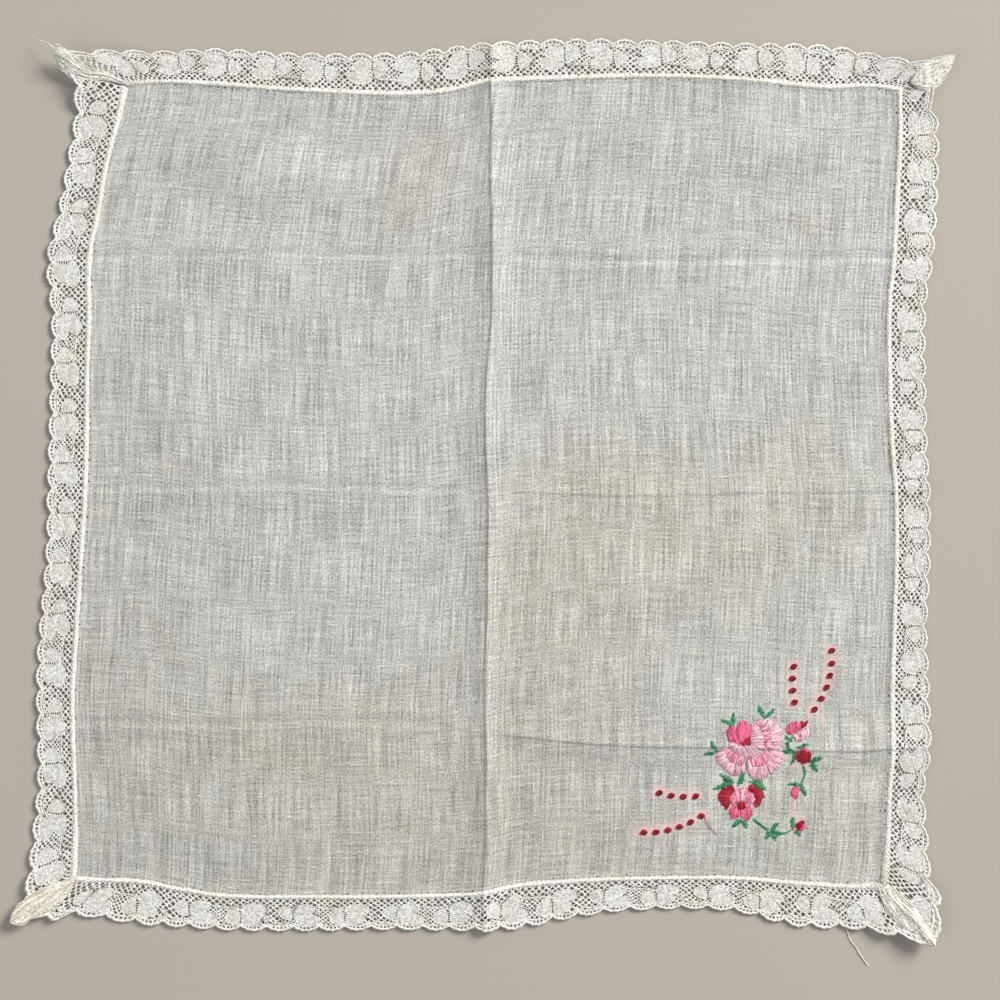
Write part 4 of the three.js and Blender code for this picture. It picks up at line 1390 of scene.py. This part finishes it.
# Painted shade: the cloth darker towards its left and lower edges, where the light falls off.
PAINTED_EDGE_SHADE = [
    Patch(0.0, 0.2, 75, 0.95), Patch(0.25, 0.0, 70, 0.8), Patch(0.62, 0.0, 62, 0.95),
    Patch(0.92, 0.02, 40, 0.6), Patch(0.0, 0.52, 40, 0.35), Patch(0.6, 0.2, 34, 0.35),
    Patch(0.05, 0.98, 45, 0.45), Patch(0.7, 1.0, 50, 0.35),
]
TEA = [
    Patch(0.40, 0.91, 14, 1.0), Patch(0.38, 0.86, 11, 0.7), Patch(0.12, 0.53, 14, 0.5),
    Patch(0.9, 0.82, 12, 0.45), Patch(0.42, 0.55, 13, 0.35), Patch(0.6, 0.83, 12, 0.4),
]
STAINS_AND_SHADE = {"yellowing": (YELLOWING, 31), "painted_edge_shade": (PAINTED_EDGE_SHADE, 33), "tea": (TEA, 35)}
# How ragged a patch's edge is, in large swells and in small ones, and how fast a patch fades.
PATCH_RAGS, PATCH_SWELL = 0.7, 11
SMALL_RAGS, SMALL_SWELL = 0.35, 4
PATCH_FADE = 1.4
BLEED_REACH = 1.5
# Where the embroiderer carried a thread across the back, it shows through the lawn.
CARRIED = [[(20.2, 20.6), (17.8, 16.6)], [(20.8, 21.2), (24.0, 15.6)], [(13.4, -9.8), (12.6, -14.8)],
           [(12.6, -14.8), (17.0, -16.4)]]
CARRIED_REACH, CARRIED_SHARE = 0.75, 0.75
SPRAY_REACH = 50

# %% Stains and painted shade on the cloth's points
def stain_and_shade(patches, across, up, seed):
    """How strong a stain or the painted edge shade is at each point: soft patches with ragged edges."""
    spots = np.column_stack([across * CLOTH_WIDTH, up * CLOTH_HEIGHT, np.zeros_like(across)])
    ragged = 1 + PATCH_RAGS * wave(spots, PATCH_SWELL, seed) + SMALL_RAGS * wave(spots, SMALL_SWELL, seed + 1)
    total = 0
    for patch in patches:
        away = np.hypot((across - patch.across) * CLOTH_WIDTH, (up - patch.up) * CLOTH_HEIGHT) / patch.reach
        total = total + patch.strength * np.exp(-away ** 2 * PATCH_FADE)
    return np.clip(total * ragged, 0, 1)


def keep_on_points(mesh, name, values):
    """Keeps a number on each point of a mesh for its finish to read."""
    attribute = mesh.attributes.new(name, "FLOAT", "POINT")
    attribute.data.foreach_set("value", np.asarray(values, dtype=np.float32))


flat_cloth = points_of(cloth_mesh)[:, :2] / MM
near_spray = np.hypot(*(flat_cloth - SPRAY_AT).T) < SPRAY_REACH


def round_threads(places, reach):
    """How near each of the cloth's points lies to threads at places on the spray's chart: 1 at a thread."""
    nearness = np.zeros(len(flat_cloth))
    gaps = np.hypot(*(flat_cloth[near_spray, None, :] - (places + SPRAY_AT)[None, :, :]).T).min(axis=0)
    nearness[near_spray] = np.exp(-(gaps / reach) ** 2)
    return nearness


carried = round_threads(np.vstack([smooth_line(line, 12) for line in CARRIED]), CARRIED_REACH)
red_bleed = round_threads(np.vstack(stitches["red"])[::5, :2], BLEED_REACH)
red_bleed = np.maximum(red_bleed, CARRIED_SHARE * carried)
green_bleed = round_threads(np.vstack([route[:2] for route in stitches["green"]])[::2, :2], BLEED_REACH)
for name, (patches, seed) in STAINS_AND_SHADE.items():
    strengths = stain_and_shade(patches, cloth_across, cloth_up, seed)
    keep_on_points(cloth_mesh, name, strengths)
    print(f"{name}: {strengths.mean():.2f} on average")
keep_on_points(cloth_mesh, "red bleed", red_bleed)
keep_on_points(cloth_mesh, "green bleed", green_bleed)

# %% [markdown]
# ## Finishes
#
# Everything here is cotton. Patterns are set in millimetres: by the cloth's own map, which runs along its
# warp and weft, or by a piece's own space. Two small functions make the noise and the mixes that all
# of the finishes share.

# %% Pattern helpers
def noise_of(tree, place, swells, detail=2.0):
    """Smooth noise from 0 to 1, with so many swells to a millimetre each way."""
    spread = add_node(tree, "ShaderNodeMapping", {"Vector": place, "Scale": swells})
    sockets = {"Vector": spread.outputs[0], "Scale": 1.0, "Detail": detail}
    return add_node(tree, "ShaderNodeTexNoise", sockets).outputs[0]


def between(tree, value, low, high, to_low=0.0, to_high=1.0):
    """Turns low to high into to_low to to_high, and stops at both ends."""
    return add_node(tree, "ShaderNodeMapRange", {0: value, 1: low, 2: high, 3: to_low, 4: to_high}).outputs[0]


def weigh(tree, *pairs):
    """Adds up values, each times its weight."""
    total = 0.0
    for value, weight in pairs:
        sockets = {0: value, 1: weight, 2: total}
        total = add_node(tree, "ShaderNodeMath", sockets, operation="MULTIPLY_ADD").outputs[0]
    return total


def mix(tree, amount, first, second, way="MIX"):
    """Mixes two colours."""
    sockets = {0: amount, 6: first, 7: second}
    return add_node(tree, "ShaderNodeMix", sockets, data_type="RGBA", blend_type=way).outputs[2]


def kept(tree, name):
    """A number kept on the points of a piece."""
    return add_node(tree, "ShaderNodeAttribute", attribute_name=name).outputs["Fac"]


def own_place(tree):
    """Where a point lies in its piece's own space, in millimetres."""
    spot = add_node(tree, "ShaderNodeTexCoord").outputs["Object"]
    return add_node(tree, "ShaderNodeMapping", {"Vector": spot, "Scale": (1 / MM, 1 / MM, 1 / MM)}).outputs[0]


def finish_with(tree, colour, bump, depth, roughness, alpha=1.0, shine=1.0):
    """Cotton's shader: a rough surface with a little sheen, and a bump of the given depth."""
    bumps = add_node(tree, "ShaderNodeBump", {"Height": bump, "Distance": depth, "Strength": 1.0})
    shader = add_node(tree, "ShaderNodeBsdfPrincipled", {
        "Base Color": colour, "Roughness": roughness, "Normal": bumps.outputs[0], "Alpha": alpha,
        "Sheen Weight": 0.12 * shine, "Sheen Roughness": 0.6, "IOR": 1.45, "Specular IOR Level": 0.3 * shine})
    add_node(tree, "ShaderNodeOutputMaterial", {"Surface": shader.outputs[0]})


# %% [markdown]
# Cotton lawn is a plain weave of fine combed yarn, about 30 threads to a centimetre, bleached and washed
# until it is soft and half sheer. A single thread is too fine to be seen here, so the weave is drawn as
# what shows of it: threads a little thicker or thinner than their neighbours, which run on as streaks
# both ways, a few slubs, and thin places that let the table through.

# %% Needle holes
HOLE_PITCH, HOLE_IN, HOLE_RADIUS = 2.5, 0.55, 0.2


def with_needle_holes(tree, cover, place, axis, along):
    """Takes the needle's holes out of the cloth's cover, in a row inside both edges across one axis."""
    split = add_node(tree, "ShaderNodeSeparateXYZ", {0: place})
    half = (CLOTH_WIDTH, CLOTH_HEIGHT)[axis] / 2

    def sum_of(way, *values):
        return add_node(tree, "ShaderNodeMath", dict(enumerate(values)), operation=way).outputs[0]

    off_middle = sum_of("ABSOLUTE", sum_of("SUBTRACT", split.outputs[axis], half))
    beside = sum_of("SUBTRACT", off_middle, half - HOLE_IN)
    onward = sum_of("WRAP", split.outputs[along], HOLE_PITCH / 2, -HOLE_PITCH / 2)
    away = sum_of("SQRT", sum_of("MULTIPLY_ADD", beside, beside, sum_of("MULTIPLY", onward, onward)))
    uneven = weigh(tree, (away, 1.0), (noise_of(tree, place, (0.5, 0.5, 1.0), 0.0), 0.8))
    return sum_of("MULTIPLY", cover, between(tree, uneven, HOLE_RADIUS + 0.3, HOLE_RADIUS + 0.42))


# %% Lawn
# What each number kept on the cloth does to its colour: how strongly, towards which colour, and how. The
# edge shade is painted shade; the rest are the cloth's own age, stains and bled dye.
AGE_AND_SHADE = [
    ("yellowing", 0.45, "#FAF2DE", "MULTIPLY"),
    ("painted_edge_shade", 0.45, "#E7E2D7", "MULTIPLY"),
    ("tea", 0.3, "#F0DCCB", "MULTIPLY"),
    ("green bleed", 0.4, "#C6DACA", "MIX"),
    ("red bleed", 0.7, "#EFC4C2", "MIX"),
]
lawn_finish, tree = new_material("cotton lawn")
weave_map = add_node(tree, "ShaderNodeUVMap", uv_map="weave").outputs[0]
spread = add_node(tree, "ShaderNodeMapping", {"Vector": weave_map, "Scale": (CLOTH_WIDTH, CLOTH_HEIGHT, 1.0)})
place = spread.outputs[0]
warp = noise_of(tree, place, (1.45, 0.05, 1.0), 2.0)
weft = noise_of(tree, place, (0.07, 1.45, 1.0), 2.0)
threads = noise_of(tree, place, (1.5, 1.5, 1.0), 1.0)
bands = noise_of(tree, place, (0.22, 0.02, 1.0), 1.0)
mottling = noise_of(tree, place, (0.05, 0.05, 1.0), 3.0)
upright_slubs = between(tree, noise_of(tree, place, (1.5, 0.16, 1.0), 0.0), 0.70, 0.80)
level_slubs = between(tree, noise_of(tree, place, (0.16, 1.5, 1.0), 0.0), 0.70, 0.80)
nubs = between(tree, noise_of(tree, place, (0.9, 0.9, 1.0), 0.0), 0.78, 0.84)
tone = weigh(tree, (warp, 1.25), (weft, 0.8), (threads, 1.3), (bands, 0.3), (mottling, 0.3),
             (upright_slubs, 0.3), (level_slubs, 0.25), (nubs, 0.35))
colour = mix(tree, between(tree, tone, 1.40, 2.56), paint("#7E7E7B"), paint("#DFDEDA"))
for name, strength, hex_code, way in AGE_AND_SHADE:
    colour = mix(tree, weigh(tree, (kept(tree, name), strength)), colour, paint(hex_code), way)
cover = between(tree, tone, 1.5, 2.4, 0.84, 0.98)
for axis, along in ((0, 1), (1, 0)):
    cover = with_needle_holes(tree, cover, place, axis, along)
finish_with(tree, colour, tone, 0.05 * MM, 0.85, cover)

# %% [markdown]
# The lace is of harder cotton, ecru rather than white, and its flowers are cloth stitch: woven so
# close that they look like a coarse grain with pinpricks in it. Each part keeps its shade on its points.
# The petals are greyest, the net and the cords lighter, and the whipping and the gathered corners,
# which are the thickest, the most yellow.

# %% Lace
SHADES = [(0.0, "#DFDEDD"), (0.3, "#E9E8E6"), (0.6, "#F2F1EE"), (0.75, "#FAF9F4"), (1.0, "#E8E1D1")]
lace_finish, tree = new_material("cotton lace")
place = own_place(tree)
shade = kept(tree, SHADE)
ramp = add_node(tree, "ShaderNodeValToRGB", {0: shade})
while len(ramp.color_ramp.elements) < len(SHADES):
    ramp.color_ramp.elements.new(0.5)
for stop, (position, hex_code) in zip(ramp.color_ramp.elements, SHADES):
    stop.position = position
    stop.color = paint(hex_code)
grain = noise_of(tree, place, (1.5, 1.5, 1.5), 2.0)
worn = noise_of(tree, place, (0.09, 0.09, 0.09), 2.0)
pricks = between(tree, noise_of(tree, place, (1.9, 1.9, 0.6), 0.0), 0.18, 0.26, 0.45, 1.0)
solid = between(tree, shade, 0.05, 0.2)
colour = mix(tree, between(tree, grain, 0.35, 0.62), paint("#C9C7C3"), paint("#FFFFFF"))
colour = mix(tree, 1.0, ramp.outputs[0], colour, "MULTIPLY")
aged = mix(tree, 1.0, colour, paint("#FBF8F0"), "MULTIPLY")
colour = mix(tree, between(tree, worn, 0.4, 0.7), colour, aged)
alpha = add_node(tree, "ShaderNodeMath", {0: pricks, 1: solid}, operation="MAXIMUM").outputs[0]
finish_with(tree, colour, grain, 0.08 * MM, 0.85, alpha)

# %% [markdown]
# The embroidery is six-strand mercerised cotton worked with two strands: smoother and brighter than the
# cloth, and each stitch a little lighter or darker as its twist turns to the light. The sewing cotton of
# the loose ends is the same thread undyed.

# %% Threads
THREADS = {
    "red": ("red_thread", "#A5132C"),
    "pink": ("pink_thread", "#E4678A"),
    "pale": ("pale_pink_thread", "#F0B8C4"),
    "green": ("green_thread", "#3E8D66"),
    "sewing": ("sewing_thread", "#EDE7D8"),
}
# A stitch's darkest and lightest tones, as shares of its colour: painted shade and a painted highlight.
PAINTED_SHADE_SHARE, PAINTED_HIGHLIGHT_SHARE = 0.4, 1.3


def thread_finish(name):
    """Mercerised cotton thread of one colour."""
    slot, hex_code = THREADS[name]
    material, tree = new_material(slot.replace("_", " "))
    place = own_place(tree)
    stitch_light_noise = noise_of(tree, place, (0.9, 0.9, 0.9), 1.0)
    fibres = noise_of(tree, place, (6.0, 6.0, 6.0), 1.0)
    dark = tuple(channel * PAINTED_SHADE_SHARE for channel in paint(hex_code)[:3]) + (1.0,)
    light = tuple(min(channel * PAINTED_HIGHLIGHT_SHARE + 0.02, 1) for channel in paint(hex_code)[:3]) + (1.0,)
    # Painted light and shade: each stitch's tone and a noise across the stitches, as their twist turns to the
    # light.
    tone = weigh(tree, (kept(tree, SHADE), 0.5), (stitch_light_noise, 1.0), (fibres, 0.3))
    colour = mix(tree, between(tree, tone, 0.45, 1.25), dark, light)
    finish_with(tree, colour, fibres, 0.05 * MM, 0.5, shine=0.5)
    return material


finishes = {name: thread_finish(name) for name in THREADS}

# %% [markdown]
# ## The pieces
#
# Each piece is given its finish. The lawn and each side's net, cords and whipping are pieces of their own,
# which stand in for the imported cloth and lace, and the corners and threads are small plain pieces.

lawn = new_piece("lawn_panel", cloth_mesh, "lawn", lawn_finish)
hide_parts("cloth_panel")
for name in SIDES:
    net, cords, whipping = (new_piece(f"lace_{group}_{name}", lace_meshes[group, name], "lace", lace_finish)
                            for group in ("net", "cords", "whipping"))
    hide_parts(f"lace_{name}")
for corner, mesh in ear_meshes.items():
    new_piece(f"ear_{corner}", mesh, "lace", lace_finish)


# %% Embroidery and thread ends
for name, mesh in spray_meshes.items():
    new_piece(f"spray_{name}", mesh, THREADS[name][0], finishes[name])
new_piece("thread_ends", end_mesh, "sewing_thread", finishes["sewing"])
new_piece("red_thread_end", red_end_mesh, "red_thread", finishes["red"])

# %% Size and finish
visual_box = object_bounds()
sizes = {"cad": [list(corner) for corner in cad_box], "visual": [list(corner) for corner in visual_box]}
for label, box in sizes.items():
    print(label, "box, mm:", [round((high - low) / MM, 1) for low, high in zip(*box)])
